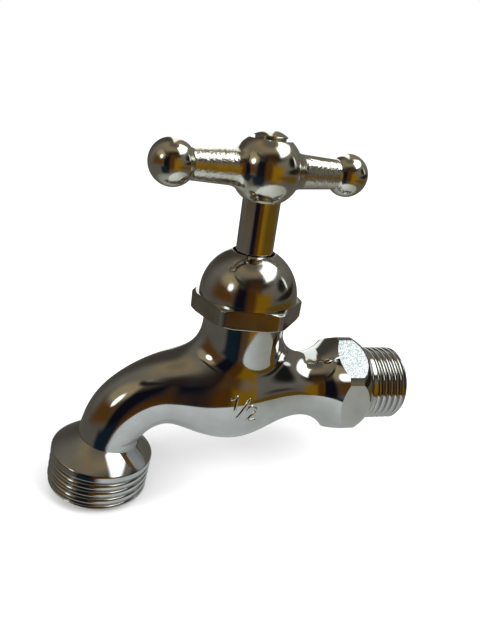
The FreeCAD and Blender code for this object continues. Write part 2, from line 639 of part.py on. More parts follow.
# ---------------------------------------------------------------- check and write
doc.recompute()
faults = [item.Name for item in doc.Objects if {"Invalid", "Error"} & set(item.State)]
nodes = [item for item in doc.Objects if item.TypeId == "PartDesign::Body"]
faults += [node.Label for node in nodes if node.Shape.isNull() or not node.Shape.isValid()]
if faults:
    raise RuntimeError("these did not build: " + ", ".join(faults))
os.makedirs("parts", exist_ok=True)
for node in nodes:
    node.Shape.exportStep(f"parts/{node.Label}.step")
    print(f"{node.Label}: {len(node.Shape.Solids)} solid, {node.Shape.Volume:.0f} mm3")
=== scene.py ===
"""Looks of a half-inch bib tap with a T handle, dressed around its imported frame.

The casting is one closed surface: a cage of rings is smoothed, and its three open ends are then grown
into the spanner collar, the neck and the spout. Turned pieces are outlines spun about their own axis.
Lengths are millimetres until a piece is finished, and angles are degrees unless a name says otherwise.
Distances along the casting are measured from the stem axis, positive towards the wall.
"""

import json
import logging
import math
from dataclasses import dataclass
from enum import Enum
from functools import cached_property
from typing import Callable, Iterable, Sequence

import bmesh
import bpy
import numpy as np
from mathutils import Matrix, Vector
from mathutils.bvhtree import BVHTree

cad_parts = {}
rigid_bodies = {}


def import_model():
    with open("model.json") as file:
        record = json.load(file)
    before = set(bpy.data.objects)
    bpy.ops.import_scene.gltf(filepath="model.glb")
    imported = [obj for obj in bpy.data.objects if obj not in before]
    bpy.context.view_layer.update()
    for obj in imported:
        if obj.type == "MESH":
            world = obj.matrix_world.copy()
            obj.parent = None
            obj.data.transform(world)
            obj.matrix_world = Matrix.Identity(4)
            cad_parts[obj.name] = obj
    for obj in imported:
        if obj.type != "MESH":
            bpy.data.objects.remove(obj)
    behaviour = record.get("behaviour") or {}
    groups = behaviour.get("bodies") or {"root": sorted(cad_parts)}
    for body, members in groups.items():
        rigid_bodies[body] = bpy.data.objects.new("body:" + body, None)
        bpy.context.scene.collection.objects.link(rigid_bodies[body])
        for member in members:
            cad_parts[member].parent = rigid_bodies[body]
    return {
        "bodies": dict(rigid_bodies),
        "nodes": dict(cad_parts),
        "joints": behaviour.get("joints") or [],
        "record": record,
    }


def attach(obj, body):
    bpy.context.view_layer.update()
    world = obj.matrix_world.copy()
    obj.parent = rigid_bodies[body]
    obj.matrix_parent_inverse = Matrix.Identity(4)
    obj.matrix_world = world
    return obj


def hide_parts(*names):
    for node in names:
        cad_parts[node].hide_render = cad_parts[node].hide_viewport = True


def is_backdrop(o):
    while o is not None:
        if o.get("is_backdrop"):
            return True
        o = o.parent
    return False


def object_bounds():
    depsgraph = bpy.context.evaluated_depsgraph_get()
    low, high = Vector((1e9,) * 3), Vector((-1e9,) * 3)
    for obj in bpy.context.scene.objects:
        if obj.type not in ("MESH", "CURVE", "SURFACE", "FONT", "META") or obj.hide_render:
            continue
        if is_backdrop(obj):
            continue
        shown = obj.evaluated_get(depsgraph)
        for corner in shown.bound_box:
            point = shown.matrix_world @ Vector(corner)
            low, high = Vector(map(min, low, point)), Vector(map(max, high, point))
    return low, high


Edge = bmesh.types.BMEdge
Material = bpy.types.Material
Object = bpy.types.Object
Socket = bpy.types.NodeSocket
Triple = tuple[float, float, float]

LOG = logging.getLogger("tap")
MM = 0.001
DEGREES = 180 / math.pi           # degrees in a radian
SHARP_DEGREES = 30.0
GUARD = 0.12                      # a flat is kept flat up to this close to its rounded corners
MANY_SIDED = 12                   # a face with this many sides is a flat, and is shaded as one
WELD = 1e-4
ON_PLANE = WELD * 10              # how close to a plane the edges of a cut lie
TURNED_SEGMENTS = 192
ARC_STEP = 0.09                   # the largest turn between two points of an arc, in radians
BULGE_STEP = 0.04
ROUND_STEP = 0.2
CORNER_SHARE = 0.48               # how much of its shorter side a rounded corner may take up
ON_SEAM = 1e-3                    # how close to a bearing of 0 a place counts as on it, in radians
SLANTED = 0.4                     # the least part of a direction along an axis that it faces
NOISE_MIDDLE = (0.3, 0.7)         # nearly all values of a noise lie between these
FLOOR_GAP = 0.1


class Body(Enum):
    """The bodies that the new pieces ride on."""

    FIXED = "body"
    STEM = "stem"


class Slot(Enum):
    """The record's finishes, named with each new piece but not given to it."""

    CAST = "cast_chrome"
    STEM = "stem_chrome"
    HANDLE = "handle_chrome"


# ---------------------------------------------------------------- outlines
@dataclass(frozen=True)
class Corner:
    """A corner of a turned outline.

    out is its distance from the axis and along its place on the axis. round is the radius that the
    corner is eased with. bulge is the radius of the arc that leads here from the corner before, and it
    bows to the right of its travel, or to the left where it is negative.
    """

    out: float
    along: float
    round: float = 0.0
    bulge: float = 0.0


def arc_points(centre: Vector, start: Vector, end: Vector, step: float = ARC_STEP) -> list[Vector]:
    """Points on the shorter arc between two points about a centre.

    Args:
        centre: the middle of the circle, in (out, along).
        start: the first point of the arc.
        end: the last point of the arc.
        step: the largest turn between two points, in radians.

    Returns:
        The points, with both ends.
    """
    first, last = start - centre, end - centre
    turn = math.atan2(first.x * last.y - first.y * last.x, first.dot(last))
    count = max(2, math.ceil(abs(turn) / step))
    return [centre + Matrix.Rotation(turn * index / count, 2) @ first for index in range(count + 1)]


def bulged(start: Vector, end: Vector, radius: float) -> list[Vector]:
    """The arc of a given radius between two points, bowing right of its travel if radius is positive."""
    middle, chord = (start + end) / 2, end - start
    left = Vector((-chord.y, chord.x)).normalized()
    rise = math.sqrt(radius ** 2 - chord.length_squared / 4)
    return arc_points(middle + left * math.copysign(rise, radius), start, end, BULGE_STEP)


def eased(before: Vector, corner: Vector, after: Vector, radius: float) -> list[Vector]:
    """The arc that rounds a corner, with a guard point beyond each end of it."""
    back, ahead = before - corner, after - corner
    half = back.angle(ahead) / 2
    reach = radius / math.tan(half)
    room = min(back.length, ahead.length) * CORNER_SHARE
    if reach > room:
        radius, reach = radius * room / reach, room
    back.normalize()
    ahead.normalize()
    centre = corner + (back + ahead).normalized() * (radius / math.sin(half))
    arc = arc_points(centre, corner + back * reach, corner + ahead * reach, ROUND_STEP)
    if reach + GUARD >= room * 2:
        return arc
    return [corner + back * (reach + GUARD), *arc, corner + ahead * (reach + GUARD)]


def outline(corners: Sequence[Corner], closed: bool = False) -> list[Vector]:
    """Work out the points of an outline from its corners.

    Args:
        corners: the corners in order.
        closed: whether the last corner leads back to the first.

    Returns:
        The points as (out, along).
    """
    raw: list[tuple[Vector, float]] = []
    for corner in corners:
        place = Vector((corner.out, corner.along))
        if corner.bulge:
            raw += [(point, 0.0) for point in bulged(raw[-1][0], place, corner.bulge)[1:-1]]
        raw.append((place, corner.round))
    points: list[Vector] = []
    for index, (place, radius) in enumerate(raw):
        inner = closed or 0 < index < len(raw) - 1
        if radius and inner:
            points += eased(raw[index - 1][0], place, raw[(index + 1) % len(raw)][0], radius)
        else:
            points.append(place)
    return points


def tangent_round(ring: Vector, ring_radius: float, line: tuple[Vector, Vector],
                  radius: float) -> list[Vector]:
    """The fillet that joins a circle to a straight line outside it.

    Args:
        ring: the centre of the circle, on the axis.
        ring_radius: the radius of the circle.
        line: two points of the line, the first nearer to the circle.
        radius: the radius of the fillet.

    Returns:
        The arc's points from the circle to the line.
    """
    start, end = line
    travel = (end - start).normalized()
    normal = Vector((-travel.y, travel.x))
    if normal.x < 0:
        normal.negate()
    lifted = start + normal * radius - ring
    along = lifted.dot(travel)
    gap = lifted.length_squared - (ring_radius + radius) ** 2
    centre = ring + lifted + travel * (-along + math.sqrt(along ** 2 - gap))
    on_ring = ring + (centre - ring).normalized() * ring_radius
    return arc_points(centre, on_ring, centre - normal * radius)


def heading(bearing: float) -> Vector:
    """The level direction at a bearing from +X, in radians."""
    return Vector((math.cos(bearing), math.sin(bearing), 0))


def hexagon(turn: float = 0.0) -> list[float]:
    """The bearings of six flats, in radians, the first of them given in degrees."""
    return [math.radians(turn + 60 * side) for side in range(6)]


def swollen(here: float, there: float) -> Matrix:
    """The growth across Z that takes one radius to another."""
    return Matrix.Diagonal((there / here, there / here, 1.0, 1.0))


def on_stem(distance: float, height: float = 0.0, turn: float = 0.0) -> Matrix:
    """The frame of a piece on the stem axis, turned by some degrees."""
    return Matrix.Translation((-distance, 0, height)) @ Matrix.Rotation(math.radians(turn), 4, "Z")


# ---------------------------------------------------------------- metalwork
def stand(name: str, data: bpy.types.ID) -> Object:
    """Put a mesh, a curve, a lamp or a camera in the scene."""
    holder = bpy.data.objects.new(name, data)
    bpy.context.scene.collection.objects.link(holder)
    return holder


def cast(name: str, shape: bmesh.types.BMesh) -> bpy.types.Mesh:
    """Make mesh data from a shape, which is used up."""
    data = bpy.data.meshes.new(name)
    shape.to_mesh(data)
    shape.free()
    return data


class Blank:
    """A piece being shaped, as a mesh in millimetres."""

    def __init__(self) -> None:
        """Start with nothing on the bench."""
        self.mesh = bmesh.new()

    def turn(self, points: Sequence[Vector], closed: bool = False,
             segments: int = TURNED_SEGMENTS) -> "Blank":
        """Spin an outline about Z.

        Args:
            points: the outline as (out, along).
            closed: whether the outline is a loop, as it is on a hollow piece.
            segments: the number of steps round the axis.

        Returns:
            This blank.
        """
        rim = [self.mesh.verts.new((point.x, 0.0, point.y)) for point in points]
        pairs = list(zip(rim, rim[1:])) + ([(rim[-1], rim[0])] if closed else [])
        edges = [self.mesh.edges.new(pair) for pair in pairs]
        bmesh.ops.spin(self.mesh, geom=rim + edges, cent=(0, 0, 0), axis=(0, 0, 1), dvec=(0, 0, 0),
                       angle=math.tau, steps=segments, use_merge=True, use_duplicate=False)
        return self.weld()

    def ridge(self, section: Sequence[Vector], pitch: float, turns: int, limit: Callable[[float], float],
              per_turn: int = 120) -> "Blank":
        """Wind a screw ridge about Z.

        Args:
            section: the ridge's closed section as (out, along), at its lower end.
            pitch: the climb in one turn.
            turns: how many turns it makes.
            limit: the largest distance from the axis at a place along it.
            per_turn: the number of steps in one turn.

        Returns:
            This blank.
        """
        rim = [self.mesh.verts.new((point.x, 0.0, point.y)) for point in section]
        edges = [self.mesh.edges.new(pair) for pair in zip(rim, rim[1:] + rim[:1])]
        bmesh.ops.spin(self.mesh, geom=rim + edges, cent=(0, 0, 0), axis=(0, 0, 1),
                       dvec=(0, 0, pitch / per_turn), angle=math.tau, steps=per_turn,
                       use_merge=False, use_duplicate=False)
        first = [*self.mesh.verts, *self.mesh.edges, *self.mesh.faces]
        for turn in range(1, turns):
            copy = bmesh.ops.duplicate(self.mesh, geom=first)["geom"]
            verts = [item for item in copy if isinstance(item, bmesh.types.BMVert)]
            bmesh.ops.translate(self.mesh, verts=verts, vec=(0, 0, pitch * turn))
        bmesh.ops.remove_doubles(self.mesh, verts=self.mesh.verts, dist=WELD)
        bmesh.ops.holes_fill(self.mesh, edges=[edge for edge in self.mesh.edges if edge.is_boundary])
        for vert in self.mesh.verts:
            reach, most = vert.co.xy.length, limit(vert.co.z)
            if reach > most:
                vert.co.xy *= most / reach
        return self.weld()

    def weld(self) -> "Blank":
        """Merge doubles and turn every face outwards."""
        bmesh.ops.remove_doubles(self.mesh, verts=self.mesh.verts, dist=WELD)
        bmesh.ops.recalc_face_normals(self.mesh, faces=self.mesh.faces)
        return self

    def place(self, matrix: Matrix) -> "Blank":
        """Move the whole blank."""
        bmesh.ops.transform(self.mesh, matrix=matrix, verts=self.mesh.verts)
        return self

    def add(self, other: "Blank") -> "Blank":
        """Take another blank's mesh, which is used up, into this one."""
        loose = cast("loose", other.mesh)
        self.mesh.from_mesh(loose)
        bpy.data.meshes.remove(loose)
        return self

    def take(self, *holders: Object) -> "Blank":
        """Take in the finished shape of the first of some helper objects, which are all used up."""
        graph = bpy.context.evaluated_depsgraph_get()
        finished = bpy.data.meshes.new_from_object(holders[0].evaluated_get(graph))
        self.mesh.from_mesh(finished)
        used = [finished] + [holder.data for holder in holders]
        for holder in holders:
            bpy.data.objects.remove(holder)
        bpy.data.batch_remove(used)
        return self

    def face_off(self, centre: Vector, normal: Vector, within: Callable[[Vector], bool] = lambda place: True,
                 ease: float = 0.0, slot: int = 0) -> "Blank":
        """Cut a flat.

        Args:
            centre: a point of the plane.
            normal: the side that is cut away.
            within: says which places may be cut.
            ease: how far the new edge is bevelled.
            slot: the material slot of the flat.

        Returns:
            This blank.
        """
        faces = [face for face in self.mesh.faces if within(face.calc_center_median())]
        geom = list({item for face in faces for item in (face, *face.edges, *face.verts)})
        bmesh.ops.bisect_plane(self.mesh, geom=geom, dist=WELD, plane_co=centre, plane_no=normal,
                               clear_outer=True)
        rim = [edge for edge in self.mesh.edges if edge.is_boundary
               and all(abs((vert.co - centre).dot(normal)) < ON_PLANE for vert in edge.verts)]
        made = bmesh.ops.contextual_create(self.mesh, geom=rim)["faces"]
        for face in made:
            face.material_index = slot
        if ease:
            bmesh.ops.inset_region(self.mesh, faces=made, thickness=ease + GUARD, use_even_offset=True)
            bmesh.ops.bevel(self.mesh, geom=rim, offset=ease, offset_type="OFFSET", segments=2, profile=0.5,
                            affect="EDGES", clamp_overlap=True, material=-1)
        return self

    def grow(self, edges: Iterable[Edge], moves: Iterable[Matrix]) -> list[Edge]:
        """Extrude an open rim again and again.

        Args:
            edges: the rim.
            moves: for each new ring, the move from the ring before it.

        Returns:
            The edges of the last ring.
        """
        rim = list(edges)
        for move in moves:
            grown = bmesh.ops.extrude_edge_only(self.mesh, edges=rim)["geom"]
            fresh = {item for item in grown if isinstance(item, bmesh.types.BMVert)}
            rim = [item for item in grown if isinstance(item, Edge)
                   and all(vert in fresh for vert in item.verts)]
            bmesh.ops.transform(self.mesh, matrix=move, verts=list(fresh))
        return rim

    def grow_turned(self, edges: Iterable[Edge], axis: Matrix, points: Sequence[Vector]) -> None:
        """Carry an open round rim along a turned outline and close its end.

        Args:
            edges: the rim, which lies at the outline's first point.
            axis: the frame whose Z is the axis.
            points: the outline as (out, along).
        """
        moves = []
        for here, there in zip(points, points[1:]):
            step = (Matrix.Translation((0, 0, there.y)) @ swollen(here.x, there.x)
                    @ Matrix.Translation((0, 0, -here.y)))
            moves.append(axis @ step @ axis.inverted())
        bmesh.ops.contextual_create(self.mesh, geom=self.grow(edges, moves))

    def sharpen(self) -> None:
        """Shade every face smooth but the flats, and keep the crisp edges crisp."""
        for face in self.mesh.faces:
            face.smooth = len(face.verts) < MANY_SIDED
        for edge in self.mesh.edges:
            if len(edge.link_faces) == 2 and edge.calc_face_angle(0.0) > math.radians(SHARP_DEGREES):
                edge.smooth = False

    def finish(self, name: str, body: Body, slot: Slot, materials: Sequence[Material],
               *stands_for: str) -> Object:
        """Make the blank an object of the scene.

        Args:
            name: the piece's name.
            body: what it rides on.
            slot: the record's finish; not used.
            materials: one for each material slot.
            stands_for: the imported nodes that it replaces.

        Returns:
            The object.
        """
        self.sharpen()
        self.place(Matrix.Scale(MM, 4))
        piece = stand(name, cast(name, self.mesh))
        for material in materials:
            piece.data.materials.append(material)
        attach(piece, body.value)
        if stands_for:
            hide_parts(*stands_for)
        LOG.info("%s: %d faces on %s", name, len(piece.data.polygons), body.value)
        return piece


def smoothed(blank: Blank, levels: int) -> Blank:
    """Round a cage off by subdivision.

    Args:
        blank: the cage, which is used up.
        levels: how often each face is divided.

    Returns:
        A new blank with the smooth surface.
    """
    holder = stand("cage", cast("cage", blank.mesh))
    rounding = holder.modifiers.new("rounding", "SUBSURF")
    rounding.levels = rounding.render_levels = levels
    return Blank().take(holder)


def carved(blank: Blank, tool: Blank) -> Blank:
    """Cut one blank's shape out of another, which uses both up."""
    holders = [stand("cut", cast("cut", item.mesh)) for item in (blank, tool)]
    cut = holders[0].modifiers.new("cut", "BOOLEAN")
    cut.operation, cut.solver, cut.object = "DIFFERENCE", "EXACT", holders[1]
    return Blank().take(*holders)


def turned(corners: Sequence[Corner], closed: bool = False, segments: int = TURNED_SEGMENTS) -> Blank:
    """Turn a blank about Z from the corners of its outline."""
    return Blank().turn(outline(corners, closed), closed, segments)


# ---------------------------------------------------------------- finishes
class NodeTree:
    """A material's node tree, with short ways to add to it."""

    def __init__(self, name: str, bare: bool = False) -> None:
        """Make a material.

        Args:
            name: the material's name.
            bare: whether it starts without the usual shader and output.
        """
        self.material = bpy.data.materials.new(name)
        self.material.use_nodes = True
        self.tree = self.material.node_tree
        if bare:
            self.tree.nodes.clear()
        self.place = self.new("ShaderNodeTexCoord").outputs["Object"]

    def new(self, kind: str) -> bpy.types.Node:
        """Add a node."""
        return self.tree.nodes.new(kind)

    def link(self, source: Socket, target: Socket) -> None:
        """Join two sockets."""
        self.tree.links.new(source, target)

    def carry(self, value: Socket, ends: Sequence[float], kind: str = "LINEAR") -> Socket:
        """Carry a value from one range over to another.

        Args:
            value: the value.
            ends: the start and the end of the first range, and what they become.
            kind: the way between them.

        Returns:
            The new value, which stays between the new ends.
        """
        node = self.new("ShaderNodeMapRange")
        node.interpolation_type = kind
        for name, number in zip(("From Min", "From Max", "To Min", "To Max"), ends):
            node.inputs[name].default_value = number
        self.link(value, node.inputs["Value"])
        return node.outputs["Result"]

    def mix(self, share: Socket, under: Socket | Sequence[float], over: Socket | Sequence[float]) -> Socket:
        """Lay one colour over another."""
        node = self.new("ShaderNodeMix")
        node.data_type = "RGBA"
        self.link(share, node.inputs["Factor"])
        for name, colour in (("A", under), ("B", over)):
            if isinstance(colour, Socket):
                self.link(colour, node.inputs[name])
            else:
                node.inputs[name].default_value = (*colour, 1.0)
        return node.outputs["Result"]


class Skin(NodeTree):
    """The skin of a piece: one shader whose colour, gloss and relief follow patterns."""

    def __init__(self, name: str, metallic: bool) -> None:
        """Make the skin's material.

        Args:
            name: the material's name.
            metallic: whether it is bare metal or plate.
        """
        super().__init__(name)
        self.shader = self.tree.nodes["Principled BSDF"]
        self.shader.inputs["Metallic"].default_value = float(metallic)

    def noise(self, size: float, detail: float, stretch: Triple = (1.0, 1.0, 1.0)) -> Socket:
        """Add a noise pattern.

        Args:
            size: the width of one patch, in millimetres.
            detail: how many finer layers it has.
            stretch: how much longer its patches are along X, Y and Z.

        Returns:
            The noise's value, from 0 to 1.
        """
        mapping = self.new("ShaderNodeMapping")
        mapping.inputs["Scale"].default_value = [1 / (size * MM * length) for length in stretch]
        self.link(self.place, mapping.inputs["Vector"])
        noise = self.new("ShaderNodeTexNoise")
        noise.inputs["Scale"].default_value = 1.0
        noise.inputs["Detail"].default_value = detail
        self.link(mapping.outputs["Vector"], noise.inputs["Vector"])
        return noise.outputs["Fac"]

    def spread(self, value: Socket, low: float, high: float) -> Socket:
        """Stretch the middle of a noise over a range."""
        return self.carry(value, (*NOISE_MIDDLE, low, high))

    def colour(self, patches: Socket, main: Triple, other: Triple) -> None:
        """Colour the skin, with patches of another colour."""
        self.link(self.mix(self.spread(patches, 0.0, 1.0), main, other), self.shader.inputs["Base Color"])

    def gloss(self, patches: Socket, smooth: float, rough: float) -> None:
        """Make the skin smooth, with rougher patches."""
        self.link(self.spread(patches, smooth, rough), self.shader.inputs["Roughness"])

    def relief(self, *layers: tuple[Socket, float]) -> None:
        """Raise the skin by patterns, each with its height in millimetres."""
        normal = None
        for value, height in layers:
            bump = self.new("ShaderNodeBump")
            bump.inputs["Strength"].default_value = 1.0
            bump.inputs["Distance"].default_value = height * MM
            self.link(value, bump.inputs["Height"])
            if normal:
                self.link(normal, bump.inputs["Normal"])
            normal = bump.outputs["Normal"]
        self.link(normal, self.shader.inputs["Normal"])


@dataclass(frozen=True)
class Layer:
    """A pattern in a relief, with its lengths in millimetres.

    width is the width of one patch, and height how far it rises. detail says how many finer layers it
    has, and stretch how much longer its patches are along X, Y and Z.
    """

    width: float
    height: float
    detail: float = 1.0
    stretch: Triple = (1.0, 1.0, 1.0)


@dataclass(frozen=True)
class Finish:
    """A skin whose colour and gloss change in patches, and whose relief is laid in layers.

    main and other are its two colours, smooth and rough the ends of its roughness. film and smear are the
    widths of the patches where its colour and its gloss change, in millimetres.
    """

    name: str
    main: Triple
    other: Triple
    smooth: float
    rough: float
    film: float
    smear: float
    film_detail: float = 4.0
    smear_detail: float = 3.0
    metallic: bool = True

    def layers(self) -> tuple[Layer, ...]:
        """The layers of the relief."""
        raise NotImplementedError

    def build(self) -> Material:
        """Make the material."""
        skin = Skin(self.name, self.metallic)
        skin.colour(skin.noise(self.film, self.film_detail), self.main, self.other)
        skin.gloss(skin.noise(self.smear, self.smear_detail), self.smooth, self.rough)
        skin.relief(*((skin.noise(layer.width, layer.detail, layer.stretch), layer.height)
                      for layer in self.layers()))
        return skin.material


@dataclass(frozen=True)
class PlatedMetal(Finish):
    """Chrome plate over brass: bright, slightly grey, and as even as the metal below it.

    The wave is the casting's slow unevenness, the grain what the polishing left. Both are given as a
    width and a height in millimetres. stretch draws the grain out into brush marks.
    """

    main: Triple = (0.62, 0.615, 0.61)
    other: Triple = (0.53, 0.525, 0.515)
    smooth: float = 0.035
    rough: float = 0.10
    film: float = 5.0
    smear: float = 2.2
    smear_detail: float = 5.0
    wave: tuple[float, float] = (7.0, 0.02)
    grain: tuple[float, float] = (0.35, 0.0008)
    grain_detail: float = 3.0
    stretch: Triple = (1.0, 1.0, 1.0)

    def layers(self) -> tuple[Layer, ...]:
        """The wave, and the grain on it."""
        return Layer(*self.wave), Layer(*self.grain, self.grain_detail, self.stretch)


@dataclass(frozen=True)
class TurnedBrass(Finish):
    """Bare brass as it leaves the lathe: yellow, ringed with tool marks and a little dull."""

    main: Triple = (0.72, 0.52, 0.25)
    other: Triple = (0.45, 0.30, 0.13)
    smooth: float = 0.22
    rough: float = 0.42
    film: float = 1.8
    smear: float = 0.9
    marks: Layer = Layer(0.12, 0.004, stretch=(30.0, 30.0, 1.0))

    def layers(self) -> tuple[Layer, ...]:
        """The tool marks."""
        return (self.marks,)


@dataclass(frozen=True)
class MouldedRubber(Finish):
    """Black rubber with a matt skin, a faint bloom and fine pits."""

    main: Triple = (0.045, 0.044, 0.042)
    other: Triple = (0.018, 0.018, 0.019)
    smooth: float = 0.5
    rough: float = 0.72
    film: float = 2.5
    smear: float = 1.1
    metallic: bool = False
    pits: Layer = Layer(0.15, 0.006, detail=2.0)

    def layers(self) -> tuple[Layer, ...]:
        """The pits."""
        return (self.pits,)


# ---------------------------------------------------------------- casting
@dataclass(frozen=True)
class Thread:
    """A male thread about Z: a plain stretch at its shoulder, then the ridge up to a bevelled end."""

    radius: float
    depth: float
    pitch: float
    crest: float                      # width of the ridge's rounded crest
    plain: float                      # length of the plain stretch
    bevel: float
    lead: float                       # where the ridge starts, as a share of the pitch below the thread
    relief: float = 0.6               # length of the slope from the plain stretch to the core
    foot: float = 0.495               # half the width of the ridge's foot, as a share of the pitch
    sink: float = 0.2                 # how deep the foot goes into the core
    under: float = 0.03               # how far the ridge keeps under the plain stretch
    crest_curve: float = 0.625        # radius of the rounded crest, as a share of its width
    crest_drop: float = 0.25          # how far the crest falls away to its sides, as a share of its width

    @property
    def root(self) -> float:
        """The core's radius."""
        return self.radius - self.depth

    def section(self, start: float) -> list[Vector]:
        """The ridge's closed section, with the middle of its foot at start."""
        inner, foot, half = self.root - self.sink, self.pitch * self.foot, self.crest / 2
        shoulder = self.radius - self.crest * self.crest_drop
        return outline([
            Corner(inner, start - foot), Corner(self.root, start - foot), Corner(shoulder, start - half),
            Corner(shoulder, start + half, bulge=self.crest * self.crest_curve),
            Corner(self.root, start + foot), Corner(inner, start + foot)], closed=True)

    def wind(self, shoulder: float, end: float) -> Blank:
        """Wind the ridge.

        Args:
            shoulder: the place on the axis where the plain stretch starts.
            end: the place where the thread ends.

        Returns:
            The ridge, cut off level at the end and inside the plain stretch.
        """
        onward = math.copysign(1.0, end - shoulder)
        plain_end = shoulder + onward * self.plain

        def limit(along: float) -> float:
            """The ridge's reach at a place: under the plain stretch, and bevelled at the end."""
            most = self.radius - self.under if (along - plain_end) * onward < 0 else self.radius
            return min(most, self.radius - self.bevel + max(0.0, (end - along) * onward))

        turns = math.ceil(abs(end - shoulder) / self.pitch)
        section = self.section(min(shoulder, end) - self.pitch * self.lead)
        blank = Blank().ridge(section, self.pitch, turns, limit)
        for place, side in ((end, onward), (plain_end - onward * self.plain / 2, -onward)):
            blank.face_off(Vector((0, 0, place)), Vector((0, 0, side)))
        return blank


@dataclass(frozen=True)
class Section:
    """A round section of the casting: its centre, its radius, and how far its run dips there."""

    distance: float
    height: float
    radius: float
    dip: float = 0.0


class Run:
    """The casting's smooth run through its sections."""

    SAMPLES = 800

    def __init__(self, sections: Sequence[Section]) -> None:
        """Fit a natural cubic spline through the sections.

        Args:
            sections: the sections in order.
        """
        self.values = np.array([(item.distance, item.height, item.radius, item.dip) for item in sections])
        steps = np.linalg.norm(np.diff(self.values[:, :3], axis=0), axis=1)
        self.knots = np.concatenate([[0.0], np.cumsum(steps)])
        gaps, count = np.diff(self.knots), len(self.knots)
        slopes = np.diff(self.values, axis=0) / gaps[:, None]
        system, right = np.eye(count), np.zeros_like(self.values)
        for index in range(1, count - 1):
            around = gaps[index - 1] + gaps[index]
            system[index, index - 1:index + 2] = gaps[index - 1], 2 * around, gaps[index]
            right[index] = 6 * (slopes[index] - slopes[index - 1])
        self.bends = np.linalg.solve(system, right)
        self.places = np.linspace(0.0, float(self.knots[-1]), self.SAMPLES)
        sampled = [self.at(float(place)) for place in self.places]
        self.centres = np.array([(section.distance, 0.0, section.height) for section in sampled])
        self.radii = np.array([section.radius for section in sampled])
        dips = np.radians([section.dip for section in sampled])
        self.ahead = np.stack([-np.cos(dips), 0 * dips, -np.sin(dips)], axis=1)
        self.up = np.stack([-np.sin(dips), 0 * dips, np.cos(dips)], axis=1)

    def at(self, place: float) -> Section:
        """The section at a place along the run."""
        index = int(np.clip(np.searchsorted(self.knots, place) - 1, 0, len(self.knots) - 2))
        gap = self.knots[index + 1] - self.knots[index]
        behind, ahead = place - self.knots[index], self.knots[index + 1] - place
        first, last = self.bends[index], self.bends[index + 1]
        value = ((first * ahead ** 3 + last * behind ** 3) / (6 * gap)
                 + (self.values[index] / gap - first * gap / 6) * ahead
                 + (self.values[index + 1] / gap - last * gap / 6) * behind)
        return Section(*(float(number) for number in value))

    def place_of(self, distance: float) -> float:
        """The place along the run that lies at a distance from the stem axis."""
        return float(np.interp(-distance, -self.centres[:, 0], self.places))

    def nearest(self, point: Vector) -> Triple:
        """The nearest surface to a point, measured from the stem axis.

        Args:
            point: the point.

        Returns:
            The gap, and the place along the run and the angle from its top where the surface is nearest.
        """
        offsets = np.array(point) - self.centres
        past = (offsets * self.ahead).sum(axis=1)
        out = np.sqrt((offsets ** 2).sum(axis=1) - past ** 2)
        gaps = np.hypot(past, out - self.radii)
        best = int(np.argmin(gaps))
        angle = math.atan2(offsets[best][1], float(offsets[best] @ self.up[best]))
        return float(gaps[best]), float(self.places[best]), angle


def mesh_swell(segments: int) -> float:
    """How much larger a ring of a cage is than the round that its subdivision gives."""
    return 6 / (4 + 2 * math.cos(math.tau / segments))


